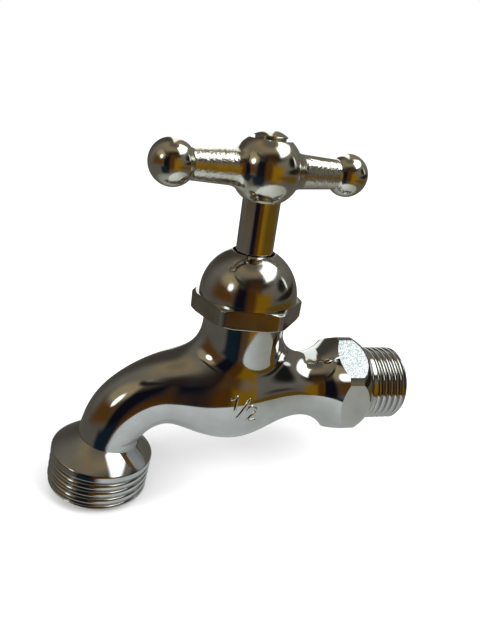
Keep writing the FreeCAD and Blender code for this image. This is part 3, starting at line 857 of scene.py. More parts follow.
@dataclass
class TapBody:
    """The chromed casting: spanner collar, globe, neck, spout and hose collar, with both threads."""

    stem_distance: float
    outlet: Matrix
    sections: tuple[Section, ...] = (
        Section(28.4, 0.0, 14.1), Section(25.6, 0.2, 11.5), Section(20.4, 0.2, 9.2), Section(10.5, 0.0, 10.9),
        Section(2.0, -0.6, 13.8), Section(-5.6, -0.6, 13.8), Section(-12.6, -0.6, 11.8, 2.0),
        Section(-20.6, -1.1, 9.5, 16.0), Section(-27.0, -4.3, 8.75, 38.0), Section(-31.1, -8.6, 8.55, 60.0),
        Section(-33.2, -13.6, 8.2, 83.3))
    ring_segments: int = 24
    patch_step: float = 3.75          # between the rings near the neck
    patch_half: int = 5               # rings and segments from the neck's middle to the patch's rim
    crease_distance: float = 22.9     # where the waist turns into the flare
    crease: float = 0.7
    flare_rings: Triple = (27.0, 24.2, 21.2)    # the ring that follows each of the flare's own
    run_step: float = 3.0
    levels: int = 3
    near_end: float = 0.5             # the edges of an open end are as near to it as this
    neck_radius: float = 10.8
    neck_fillet: float = 8.0
    fillet_search: float = 5.0        # how far beyond the neck's height its fillet is looked for
    fillet_halvings: int = 18
    neck_straight: float = 20.2       # top of the smoothed neck
    neck_shoulder: float = 21.5
    neck_top: float = 28.0
    spigot_radius: float = 9.55
    stem_bore: float = 6.66
    chamber_radius: float = 9.0
    chamber_top: float = 12.9
    seat_radius: float = 6.4
    seat_slope: float = 0.6
    seat_height: float = 1.0
    orifice_radius: float = 5.0
    orifice_depth: float = 3.4
    collar_radius: float = 14.2
    collar_length: float = 9.2
    collar_round: float = 5.0
    collar_curve: float = 14.0
    collar_face: float = 10.95
    collar_flats: float = 12.8        # axis to a spanner flat
    flats_reach: float = 14.2
    inlet: Thread = Thread(radius=10.48, depth=1.1, pitch=1.814, crest=1.1, plain=1.3, bevel=1.0, lead=0.5)
    inlet_length: float = 11.2
    inlet_bore: float = 6.2
    inlet_bore_end: float = 26.0
    inlet_drill_point: float = 2.0
    casting_wall: float = 2.3
    passage_rings: int = 7
    spout_tail: float = 4.0
    hose: Thread = Thread(radius=13.43, depth=1.15, pitch=2.209, crest=1.6, plain=1.4, bevel=0.7, lead=0.6)
    hose_rim: float = 19.3
    hose_end: float = 29.6
    hose_end_round: float = 0.7 / 3
    hose_bore: float = 10.0
    hose_step: float = 1.0
    hose_step_edge: float = 0.4
    hose_lead: float = 2.0
    hose_dome: float = 40.0
    hose_dome_height: float = 5.1
    hose_dome_inset: float = 1.6
    hose_rim_round: float = 0.7
    edge: float = 0.12                # the usual eased edge
    mouth_edge: float = 0.3           # the edges of both bores

    @cached_property
    def run(self) -> Run:
        """The casting's run."""
        return Run(self.sections)

    def frame_at(self, section: Section) -> Matrix:
        """The frame of a section: X up across it, Y sideways, Z along the run."""
        dip = math.radians(section.dip)
        up, side = Vector((-math.sin(dip), 0, math.cos(dip))), Vector((0, 1, 0))
        ahead = Vector((-math.cos(dip), 0, -math.sin(dip)))
        axes = Matrix((up, side, ahead)).transposed().to_4x4()
        return Matrix.Translation((section.distance - self.stem_distance, 0, section.height)) @ axes

    def on_casting(self, place: float, angle: float) -> Vector:
        """The casting's surface at a place along its run and an angle from its top.

        Args:
            place: along the run.
            angle: in radians, positive towards +Y.

        Returns:
            The point, measured from the stem axis.
        """
        section = self.run.at(place)
        return self.frame_at(section) @ (heading(angle) * section.radius) + Vector((self.stem_distance, 0, 0))

    def fillet(self, bearing: float) -> tuple[Vector, tuple[float, float]]:
        """Roll a ball into the corner between the neck and the casting.

        Args:
            bearing: round the stem, in radians.

        Returns:
            The ball's centre, and the place along the run and the angle where it touches the casting.
        """
        out = self.neck_radius + self.neck_fillet
        low, high = -self.fillet_search, self.neck_straight + self.fillet_search
        for _ in range(self.fillet_halvings):
            height = (low + high) / 2
            centre = Vector((out * math.cos(bearing), out * math.sin(bearing), height))
            gap, place, angle = self.run.nearest(centre)
            if gap < self.neck_fillet:
                low = height
            else:
                high = height
        return centre, (place, angle)

    def cage(self) -> Blank:
        """Lay out the casting's cage, with the neck standing on it."""
        run = self.run
        inner = [self.patch_step * index for index in range(self.patch_half, -self.patch_half - 1, -1)]
        flare = (self.sections[0].distance, self.sections[1].distance, self.crease_distance)
        outer = [distance for pair in zip(flare, self.flare_rings) for distance in pair]
        places = [run.place_of(distance) for distance in outer + inner]
        rest = float(run.knots[-1]) - places[-1]
        count = round(rest / self.run_step)
        places += [places[-1] + rest * (index + 1) / count for index in range(count)]
        rings = [run.at(place) for place in places]

        blank = Blank()
        bmesh.ops.create_circle(blank.mesh, cap_ends=False, segments=self.ring_segments,
                                radius=rings[0].radius * mesh_swell(self.ring_segments),
                                matrix=self.frame_at(rings[0]))
        moves = [self.frame_at(there) @ swollen(here.radius, there.radius) @ self.frame_at(here).inverted()
                 for here, there in zip(rings, rings[1:])]
        blank.grow(list(blank.mesh.edges), moves)

        creases = blank.mesh.edges.layers.float.new("crease_edge")
        for edge in blank.mesh.edges:
            if all(abs(vert.co.x + self.stem_distance - self.crease_distance) < WELD for vert in edge.verts):
                edge[creases] = self.crease
        self.raise_neck(blank, self.open_top(blank, rings[len(outer)], rings[len(outer + inner) - 1]))
        return blank

    def open_top(self, blank: Blank, first: Section, last: Section) -> list[Edge]:
        """Take the faces out where the neck stands.

        Args:
            blank: the closed cage.
            first: the ring where the opening starts.
            last: the ring where it ends.

        Returns:
            The opening's rim.
        """
        half_angle = math.tau / self.ring_segments * self.patch_half
        from_first, from_last = self.frame_at(first).inverted(), self.frame_at(last).inverted()
        gone = []
        for face in blank.mesh.faces:
            behind, ahead = (frame @ face.calc_center_median() for frame in (from_first, from_last))
            if behind.z > 0 > ahead.z and abs(math.atan2(behind.y, behind.x)) < half_angle:
                gone.append(face)
        rim = {edge for face in gone for edge in face.edges}
        bmesh.ops.delete(blank.mesh, geom=gone, context="FACES")
        return [edge for edge in rim if edge.is_valid and edge.is_boundary]

    def raise_neck(self, blank: Blank, rim: list[Edge]) -> None:
        """Grow the fillet and the neck out of the opening.

        Args:
            blank: the cage with its opening.
            rim: the opening's rim.
        """
        corners = {vert for edge in rim for vert in edge.verts}

        def bearing_of(vert: bmesh.types.BMVert) -> float:
            """The bearing of a vertex round the stem, from 0 to a full turn."""
            bearing = math.atan2(vert.co.y, vert.co.x + self.stem_distance)
            return bearing % math.tau if abs(bearing) > ON_SEAM else 0.0

        order = sorted(corners, key=bearing_of)
        count = len(order)
        targets = []
        for index, vert in enumerate(order):
            bearing = math.tau * index / count
            start = self.run.nearest(vert.co + Vector((self.stem_distance, 0, 0)))[1:]
            targets.append(self.neck_places(bearing, start, mesh_swell(count)))
        numbers = {vert: index for index, vert in enumerate(order)}
        for step in range(len(targets[0])):
            grown = bmesh.ops.extrude_edge_only(blank.mesh, edges=rim)["geom"]
            fresh = {item for item in grown if isinstance(item, bmesh.types.BMVert)}
            following = {}
            for vert in fresh:
                old = next(edge.other_vert(vert) for edge in vert.link_edges
                           if edge.other_vert(vert) in numbers)
                following[vert] = numbers[old]
            for vert, index in following.items():
                vert.co = targets[index][step]
            rim = [item for item in grown if isinstance(item, Edge)
                   and all(vert in fresh for vert in item.verts)]
            numbers = following

    def neck_places(self, bearing: float, start: tuple[float, float], swell: float) -> list[Vector]:
        """The places of the cage up one line of the neck.

        Args:
            bearing: the line's bearing round the stem.
            start: the place along the run and the angle of the opening's rim there.
            swell: how much larger the cage is than the smooth neck.

        Returns:
            The places, from the casting up to the top of the smooth neck.
        """
        centre, foot = self.fillet(bearing)
        halfway = [(a + b) / 2 for a, b in zip(start, foot)]
        places = [self.on_casting(*halfway), self.on_casting(*foot)]
        to_foot = (places[1] - centre).normalized()
        to_neck = -heading(bearing)
        for share in (1 / 3, 2 / 3, 1):
            places.append(centre + to_foot.slerp(to_neck, share) * self.neck_fillet)
        top = places[-1].z
        upright = heading(bearing) * self.neck_radius
        places += [upright + Vector((0, 0, top + (self.neck_straight - top) * share)) for share in (0.5, 1)]
        return [Vector((place.x * swell - self.stem_distance, place.y * swell, place.z)) for place in places]

    def casting(self, plate: Material, coarse: Material) -> Object:
        """Build the casting with its collar, neck, spigot and bores."""
        blank = smoothed(self.cage(), self.levels)
        rims = [edge for edge in blank.mesh.edges if edge.is_boundary]
        collar_x = self.sections[0].distance - self.stem_distance
        near, neck_z = self.near_end, self.neck_straight - self.near_end
        collar = [edge for edge in rims if all(abs(vert.co.x - collar_x) < near for vert in edge.verts)]
        neck = [edge for edge in rims if all(vert.co.z > neck_z for vert in edge.verts)]
        spout = [edge for edge in rims if edge not in collar and edge not in neck]
        self.grow_collar(blank, collar)
        self.grow_neck(blank, neck)
        self.grow_spout(blank, spout)
        bmesh.ops.recalc_face_normals(blank.mesh, faces=blank.mesh.faces)

        def on_collar(place: Vector) -> bool:
            """Whether a place belongs to the collar's outside."""
            return -self.flats_reach < place.x < 0 and place.yz.length > self.inlet.radius

        for angle in hexagon():
            away = Vector((0, math.cos(angle), math.sin(angle)))
            upper_front = away.y < -SLANTED and away.z > SLANTED
            blank.face_off(away * self.collar_flats, away, on_collar, slot=int(upper_front))
        return blank.finish("casting", Body.FIXED, Slot.CAST, [plate, coarse], "tap_body")

    def grow_collar(self, blank: Blank, rim: Sequence[Edge]) -> None:
        """Carry the flare on into the spanner collar, the thread's core and the inlet bore."""
        thread = self.inlet
        axis = Matrix.Rotation(math.pi / 2, 4, "Y")
        lip = rim[0].verts[0].co
        start = Vector((lip.yz.length, lip.x))
        points = outline([
            Corner(self.collar_radius, -self.collar_length, self.edge),
            Corner(self.collar_radius, -self.collar_round, self.edge),
            Corner(self.collar_face, 0, self.edge * 2, self.collar_curve),
            Corner(thread.radius, 0), Corner(thread.radius, thread.plain, self.edge),
            Corner(thread.root, thread.plain + thread.relief),
            Corner(thread.root, self.inlet_length, self.edge),
            Corner(self.inlet_bore, self.inlet_length, self.mouth_edge),
            Corner(self.inlet_bore, -self.inlet_bore_end),
            Corner(self.inlet_bore / 2, -self.inlet_bore_end - self.inlet_drill_point)])
        blank.grow_turned(rim, axis, [start, *points])

    def grow_neck(self, blank: Blank, rim: Sequence[Edge]) -> None:
        """Carry the neck on up to its spigot, and down inside to the chamber and the seat."""
        axis = on_stem(self.stem_distance)
        lip = rim[0].verts[0].co
        start = Vector((Vector((lip.x + self.stem_distance, lip.y)).length, lip.z))
        points = outline([
            Corner(self.neck_radius, self.neck_shoulder, self.edge),
            Corner(self.spigot_radius, self.neck_shoulder),
            Corner(self.spigot_radius, self.neck_top, self.edge),
            Corner(self.stem_bore, self.neck_top), Corner(self.stem_bore, self.chamber_top),
            Corner(self.chamber_radius, self.chamber_top), Corner(self.chamber_radius, 0),
            Corner(self.seat_radius + self.seat_slope, 0),
            Corner(self.seat_radius, self.seat_height, self.edge),
            Corner(self.orifice_radius, self.seat_height, self.edge),
            Corner(self.orifice_radius, -self.orifice_depth)])
        blank.grow_turned(rim, axis, [start, *points])

    def grow_spout(self, blank: Blank, rim: Sequence[Edge]) -> None:
        """Carry the spout on into the hose collar, and its passage back up inside.

        Args:
            blank: the smooth casting.
            rim: the spout's open end.
        """
        last = float(self.run.knots[-1])
        end = self.run.at(last)
        frame = self.frame_at(end)
        tail = Matrix.Translation((0, 0, self.spout_tail))
        narrow = swollen(end.radius, end.radius - self.casting_wall)
        moves = [frame @ move @ frame.inverted() for move in (tail, tail @ narrow @ tail.inverted(),
                                                              tail.inverted())]
        back = [self.run.at(last - self.run_step * index) for index in range(self.passage_rings)]
        for here, there in zip(back, back[1:]):
            scale = swollen(here.radius - self.casting_wall, there.radius - self.casting_wall)
            moves.append(self.frame_at(there) @ scale @ self.frame_at(here).inverted())
        bmesh.ops.contextual_create(blank.mesh, geom=blank.grow(rim, moves))

    def inlet_thread(self, plate: Material) -> Object:
        """Wind the pipe thread."""
        blank = self.inlet.wind(0.0, self.inlet_length).place(Matrix.Rotation(math.pi / 2, 4, "Y"))
        return blank.finish("inlet_thread", Body.FIXED, Slot.CAST, [plate])

    def hose_collar(self, plate: Material) -> Object:
        """Turn the hose collar with its domed shoulder and wide mouth."""
        thread, spout = self.hose, self.sections[-1].radius
        dome, passage = self.hose_dome_height - self.hose_rim, spout - self.casting_wall
        plain_end = -self.hose_rim - thread.plain
        blank = turned([
            Corner(passage, dome), Corner(spout - self.hose_dome_inset, dome),
            Corner(thread.radius, -self.hose_rim, self.hose_rim_round, -self.hose_dome),
            Corner(thread.radius, plain_end, self.edge), Corner(thread.root, plain_end - thread.relief),
            Corner(thread.root, -self.hose_end, self.hose_end_round),
            Corner(self.hose_bore, -self.hose_end, self.mouth_edge),
            Corner(self.hose_bore, -self.hose_rim - self.hose_step, self.hose_step_edge),
            Corner(passage, -self.hose_rim + self.hose_lead, self.mouth_edge)], closed=True)
        return blank.place(self.outlet).finish("hose_collar", Body.FIXED, Slot.CAST, [plate])

    def hose_thread(self, plate: Material) -> Object:
        """Wind the hose thread."""
        blank = self.hose.wind(-self.hose_rim, -self.hose_end).place(self.outlet)
        return blank.finish("hose_thread", Body.FIXED, Slot.CAST, [plate])


@dataclass
class SizeMark:
    """The raised 1/2 on the casting's front, which names the pipe thread.

    A stroke's points are (distance, height), measured from where the stem axis crosses the inlet axis.
    """

    stem_distance: float
    strokes: tuple[tuple[tuple[float, float], ...], ...] = (
        ((-4.92, 2.96), (-4.0, 3.3), (-3.2, 3.76), (-3.32, 2.5), (-3.56, -0.09)),
        ((0.27, 3.32), (-1.28, 0.54), (-2.84, -2.24)),
        ((-0.22, -0.37), (-0.01, 0.74), (1.03, 1.12), (2.14, 0.16), (1.61, -1.02), (0.06, -2.73),
         (2.62, -3.13)))
    width: float = 0.95
    sunk: float = 0.2
    step: float = 0.2
    rings: int = 4
    tips: tuple[float, float] = (0.6, 0.88)     # how thick a stroke is at its last point and the one before

    def build(self, casting: Object, plate: Material) -> Object:
        """Lay the strokes on the casting.

        Args:
            casting: what they stand on.
            plate: their material.

        Returns:
            The piece.
        """
        surface = BVHTree.FromObject(casting, bpy.context.evaluated_depsgraph_get())
        curve = bpy.data.curves.new("stroke", "CURVE")
        curve.dimensions = "3D"
        curve.bevel_depth, curve.bevel_resolution = self.width / 2 * MM, self.rings
        curve.use_fill_caps = True
        for stroke in self.strokes:
            places = [self.drop(surface, *point) for point in self.spaced(stroke)]
            spline = curve.splines.new("POLY")
            spline.points.add(len(places) - 1)
            for index, (point, place) in enumerate(zip(spline.points, places)):
                point.co = (*place, 1.0)
                end = min(index, len(places) - 1 - index)
                point.radius = self.tips[end] if end < len(self.tips) else 1.0
        blank = Blank().take(stand("stroke", curve)).place(Matrix.Scale(1 / MM, 4)).weld()
        return blank.finish("size_mark", Body.FIXED, Slot.CAST, [plate])

    def spaced(self, stroke: Sequence[tuple[float, float]]) -> list[tuple[float, float]]:
        """Points at even steps on a smooth line through a stroke's points."""
        points = [Vector(point) for point in stroke]
        padded = [points[0] * 2 - points[1], *points, points[-1] * 2 - points[-2]]
        line: list[tuple[float, float]] = []
        for before, here, there, after in zip(padded, padded[1:], padded[2:], padded[3:]):
            count = max(1, round((there - here).length / self.step))
            for index in range(count):
                share = index / count
                slope, bend = there - before, before * 2 - here * 5 + there * 4 - after
                twist = here * 3 - before - there * 3 + after
                place = (here * 2 + slope * share + bend * share ** 2 + twist * share ** 3) / 2
                line.append((place.x, place.y))
        return [*line, tuple(points[-1])]

    def drop(self, surface: BVHTree, distance: float, height: float) -> Vector:
        """Where a point of a stroke lands on the casting, in metres."""
        start = Vector(((distance - self.stem_distance) * MM, -1.0, height * MM))
        hit = surface.ray_cast(start, Vector((0, 1, 0)))[0]
        return hit + Vector((0, self.sunk * MM, 0))


# ---------------------------------------------------------------- cap nut, stem and handle
@dataclass
class CapNut:
    """The domed cap nut: a hexagon below, a hollow ball above, and a hole for the stem."""

    stem_distance: float
    flats: float = 12.85              # axis to a flat
    corner: float = 14.45
    turn: float = 20.2                # the way one flat faces
    bottom: float = 21.75
    height: float = 4.85
    bevel: float = 0.9
    dome_radius: float = 12.85
    dome_foot: float = 12.74
    hole: float = 5.4
    hole_height: float = 38.31
    thread_bore: float = 9.71
    least_wall: float = 1.0           # the flats are cut no nearer to the thread than this
    washer_top: float = 29.5
    packing_top: float = 34.1
    ring_top: float = 35.3
    packing_radius: float = 8.86
    packing_tip: float = 6.46
    edge: float = 0.12

    def build(self, plate: Material, brushed: Material) -> Object:
        """Turn the nut and mill its flats."""
        top = self.bottom + self.height
        blank = turned([
            Corner(self.thread_bore, self.bottom, self.edge),
            Corner(self.corner - self.bevel, self.bottom, self.edge),
            Corner(self.corner, self.bottom + self.bevel / 2, self.edge),
            Corner(self.corner, top - self.bevel / 2, self.edge),
            Corner(self.corner - self.bevel, top, self.edge), Corner(self.dome_foot, top),
            Corner(self.hole, self.hole_height, self.edge, self.dome_radius),
            Corner(self.hole, self.ring_top),
            Corner(self.packing_tip, self.ring_top), Corner(self.packing_tip, self.packing_top),
            Corner(self.packing_radius, self.washer_top), Corner(self.thread_bore, self.washer_top)],
            closed=True)
        inside = self.thread_bore + self.least_wall
        for away in map(heading, hexagon(self.turn)):
            blank.face_off(away * self.flats, away,
                           lambda place: place.z < top + WELD and place.xy.length > inside,
                           ease=self.edge, slot=1)
        blank.place(on_stem(self.stem_distance))
        return blank.finish("dome_nut", Body.FIXED, Slot.CAST, [plate, brushed], "dome_cap_nut")


@dataclass
class Stem:
    """The spindle: a plain stem above, the drive thread inside the neck and the bore for the jumper's pin."""

    stem_distance: float
    radius: float = 4.72
    shank: float = 4.9
    bottom: float = 6.0
    drive_root: float = 5.25
    drive_crest: float = 6.5
    drive_pitch: float = 2.5
    drive_bottom: float = 13.4
    drive_top: float = 20.9
    drive_flat: float = 0.9
    drive_foot: float = 0.46          # half the width of the ridge's foot, as a share of the pitch
    drive_relief: tuple[float, float] = (0.75, 0.4)     # where the step below the thread starts and ends
    top: float = 51.6
    pin_bore: float = 2.58
    pin_bore_end: float = 14.8
    drill_point: float = 1.5
    sink: float = 0.2
    edge: float = 0.15

    def build(self, plate: Material) -> Object:
        """Turn the stem and wind its drive thread."""
        blank = turned([
            Corner(0, self.pin_bore_end + self.drill_point), Corner(self.pin_bore, self.pin_bore_end),
            Corner(self.pin_bore, self.bottom), Corner(self.shank, self.bottom, self.edge),
            Corner(self.shank, self.drive_bottom - self.drive_relief[0]),
            Corner(self.drive_root, self.drive_bottom - self.drive_relief[1]),
            Corner(self.drive_root, self.drive_top),
            Corner(self.radius, self.drive_top + self.drive_root - self.radius),
            Corner(self.radius, self.top, self.edge), Corner(0, self.top)], segments=128)
        foot, start = self.drive_pitch * self.drive_foot, self.drive_bottom + self.drive_pitch / 2
        inner = self.drive_root - self.sink
        section = outline([
            Corner(inner, start - foot), Corner(self.drive_root, start - foot),
            Corner(self.drive_crest, start - self.drive_flat / 2, self.edge),
            Corner(self.drive_crest, start + self.drive_flat / 2, self.edge),
            Corner(self.drive_root, start + foot), Corner(inner, start + foot)], closed=True)
        turns = round((self.drive_top - self.drive_bottom) / self.drive_pitch) - 1
        drive = Blank().ridge(section, self.drive_pitch, turns, lambda along: self.drive_crest, per_turn=72)
        blank.add(drive)
        blank.place(on_stem(self.stem_distance))
        return blank.finish("stem", Body.STEM, Slot.STEM, [plate], "spindle")


@dataclass
class THandle:
    """The T handle: a ball at each end, two tapered arms and a round hub, all turned about one axis."""

    stem_distance: float
    height: float
    turn: float = 10.3
    hub_radius: float = 8.7
    hub_facing: float = 7.0
    stem_radius: float = 4.72
    ball_radius: float = 5.4
    ball_distance: float = 23.6
    arm_root: float = 4.75
    arm_tip: float = 3.7
    hub_fillet: float = 4.4
    ball_fillet: float = 1.2
    facing_edge: float = 0.25
    hub_step: float = 0.05            # the turn between two points of the hub's outline, in radians
    ball_step: float = 0.06
    skin: tuple[float, float] = (8.3, 19.0)     # where the arms keep their cast skin, along the bar

    def build(self, plate: Material, cast_skin: Material) -> Object:
        """Turn the handle about its bar and face the hub."""
        ball = Vector((0, self.ball_distance))
        meet = self.ball_distance - math.sqrt(self.ball_radius ** 2 - self.arm_tip ** 2)
        root, tip = Vector((self.arm_root, 0)), Vector((self.arm_tip, meet))
        hub_round = tangent_round(Vector((0, 0)), self.hub_radius, (root, tip), self.hub_fillet)
        ball_round = tangent_round(ball, self.ball_radius, (tip, root), self.ball_fillet)[::-1]
        hub = arc_points(Vector((0, 0)), Vector((self.hub_radius, 0)), hub_round[0], self.hub_step)
        end = arc_points(ball, ball_round[-1], Vector((0, ball.y + self.ball_radius)), self.ball_step)
        half = [*hub, *hub_round[1:], *ball_round, *end[1:]]
        other = [Vector((point.x, -point.y)) for point in reversed(half[1:])]
        blank = Blank().turn([*other, *half], segments=144)
        blank.place(Matrix.Rotation(math.pi / 2, 4, "Y"))
        for face in blank.mesh.faces:
            face.material_index = int(self.skin[0] < abs(face.calc_center_median().x) < self.skin[1])
        up = Vector((0, 0, 1))
        foot = math.sqrt(self.hub_radius ** 2 - self.stem_radius ** 2)
        blank.face_off(up * self.hub_facing, up, ease=self.facing_edge)
        blank.face_off(-up * foot, -up)
        blank.place(on_stem(self.stem_distance, self.height, self.turn))
        return blank.finish("handle", Body.STEM, Slot.HANDLE, [plate, cast_skin], "t_handle")


@dataclass
class HandleScrew:
    """The slotted screw on top of the hub, with the lock washer under its head."""

    stem_distance: float
    base: float                       # height of the hub's facing
    turn: float = 72.3
    shank_radius: float = 2.0
    length: float = 10.0
    washer_hole: float = 2.03
    washer_radius: float = 3.75
    washer_thickness: float = 0.5
    head_radius: float = 4.05
    head_rim: float = 0.25
    head_height: float = 1.55
    crown: float = 6.9
    slot_width: float = 1.0
    slot_depth: float = 0.4
    edge: float = 0.12
    round: float = 0.3                # at the shank's end and the head's rim

    def place(self) -> Matrix:
        """The screw's own frame."""
        return on_stem(self.stem_distance, self.base, self.turn)

    def screw(self, plate: Material) -> Object:
        """Turn the screw and cut its slot."""
        seat, top = self.washer_thickness, self.washer_thickness + self.head_height
        blank = turned([
            Corner(0, -self.length), Corner(self.shank_radius, -self.length, self.round),
            Corner(self.shank_radius, seat), Corner(self.head_radius, seat, self.edge),
            Corner(self.head_radius, seat + self.head_rim, self.round),
            Corner(0, top, bulge=self.crown)], segments=96)
        cutter = Blank()
        bmesh.ops.create_cube(cutter.mesh, size=1.0)
        across = self.head_radius * 3
        cutter.place(Matrix.Translation((0, 0, top))
                     @ Matrix.Diagonal((across, self.slot_width, self.slot_depth * 2, 1)))
        return carved(blank, cutter).place(self.place()).finish(
            "hub_screw", Body.STEM, Slot.STEM, [plate], "handle_screw")

    def washer(self, plate: Material) -> Object:
        """Turn the lock washer."""
        blank = turned([
            Corner(self.washer_hole, 0), Corner(self.washer_radius, 0, self.edge),
            Corner(self.washer_radius, self.washer_thickness, self.edge),
            Corner(self.washer_hole, self.washer_thickness)], closed=True, segments=96)
        return blank.place(self.place()).finish(
            "lock_washer", Body.STEM, Slot.STEM, [plate], "handle_lock_washer")


@dataclass(frozen=True)
class InnerPieces:
    """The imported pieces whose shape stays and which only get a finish."""

    brass: tuple[str, ...] = ("packing_washer", "gland_ring", "jumper_valve", "seat_washer_plate",
                              "seat_washer_nut")
    rubber: tuple[str, ...] = ("stem_packing", "seat_washer")

    def dress(self, nodes: dict[str, Object], brass: Material, rubber: Material) -> None:
        """Give each piece its finish.

        Args:
            nodes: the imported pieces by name.
            brass: the finish of the metal ones.
            rubber: the finish of the soft ones.
        """
        for names, material in ((self.brass, brass), (self.rubber, rubber)):
            for name in names:
                nodes[name].data.materials.clear()
                nodes[name].data.materials.append(material)
                LOG.info("%s: finished in %s", name, material.name)


# ---------------------------------------------------------------- studio
class Paint(NodeTree):
    """The paint of a piece of the studio."""

    def math(self, operation: str, *values: Socket | float) -> Socket:
        """Add a sum on sockets or numbers."""
        node = self.new("ShaderNodeMath")
        node.operation = operation
        for value, socket in zip(values, node.inputs):
            if isinstance(value, Socket):
                self.link(value, socket)
            else:
                socket.default_value = value
        return node.outputs["Value"]

    def length(self, across: Socket, along: Socket) -> Socket:
        """The length of the line to a place given by two sides."""
        squares = [self.math("MULTIPLY", side, side) for side in (across, along)]
        return self.math("SQRT", self.math("ADD", *squares))

    def split(self, vector: Socket) -> tuple[Socket, ...]:
        """Take a place apart into X, Y and Z."""
        node = self.new("ShaderNodeSeparateXYZ")
        self.link(vector, node.inputs["Vector"])
        return tuple(node.outputs)

    def step(self, value: Socket, none: float, full: float) -> Socket:
        """Fade from 0 where the value is none to 1 where it is full."""
        ends = (none, full, 0.0, 1.0) if none < full else (full, none, 1.0, 0.0)
        return self.carry(value, ends, "SMOOTHSTEP")

    def ramp(self, value: Socket, stops: Sequence[tuple[float, Triple]]) -> Socket:
        """Add a colour ramp from its stops, in rising order."""
        node = self.new("ShaderNodeValToRGB")
        elements = node.color_ramp.elements
        while len(elements) < len(stops):
            elements.new(1.0)
        for element, (place, colour) in zip(elements, stops):
            element.position = place
            element.color = (*colour, 1.0)
        self.link(value, node.inputs["Fac"])
        return node.outputs["Color"]

    def set_up(self, name: str, shape: bmesh.types.BMesh, shader: Socket) -> Object:
        """Put the painted piece in the studio.

        Args:
            name: the piece's name.
            shape: its shape in metres, which is used up.
            shader: what the paint comes to.

        Returns:
            The piece.
        """
        self.link(shader, self.new("ShaderNodeOutputMaterial").inputs["Surface"])
        piece = stand(name, cast(name, shape))
        piece.data.materials.append(self.material)
        piece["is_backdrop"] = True
        return piece


@dataclass(frozen=True)
class Lamp:
    """A soft lamp: where it hangs, its size and its strength."""

    name: str
    place: Triple
    size: tuple[float, float]
    watts: float


@dataclass(frozen=True)
class PaintedRoomReflection:
    """A soft-edged painted reflection on the glowing room that the chrome mirrors, such as a painted window
    highlight.

    Its middle is given by its bearing and its height, both in degrees as seen from the tap. A bearing of 0
    is towards -Y, and it grows towards +X. wide and tall are half its size in degrees, and soft is the
    share of them over which its edge fades. A square patch has corners, and the others are oval.
    """

    bearing: float
    height: float
    wide: float
    tall: float
    colour: Triple
    soft: float = 0.3
    lean: float = 0.0
    square: bool = False


@dataclass(frozen=True)
class PaintedFloorReflection:
    """The oval part of the floor that the chrome mirrors as a pale grey painted reflection, in millimetres.
    """

    middle: tuple[float, float] = (0.0, -42.0)
    half: tuple[float, float] = (82.0, 82.0)
    soft: float = 0.1                 # the share of its size over which its edge fades
    # painted reflection: the floor looks white to the camera, and the chrome mirrors it as these greys,
    # darker towards the wall
    near: Triple = (0.50, 0.54, 0.54)
    far: Triple = (0.27, 0.28, 0.245)    # its colour towards the wall
    change: float = 0.8               # the share of its width over which it goes from near to far


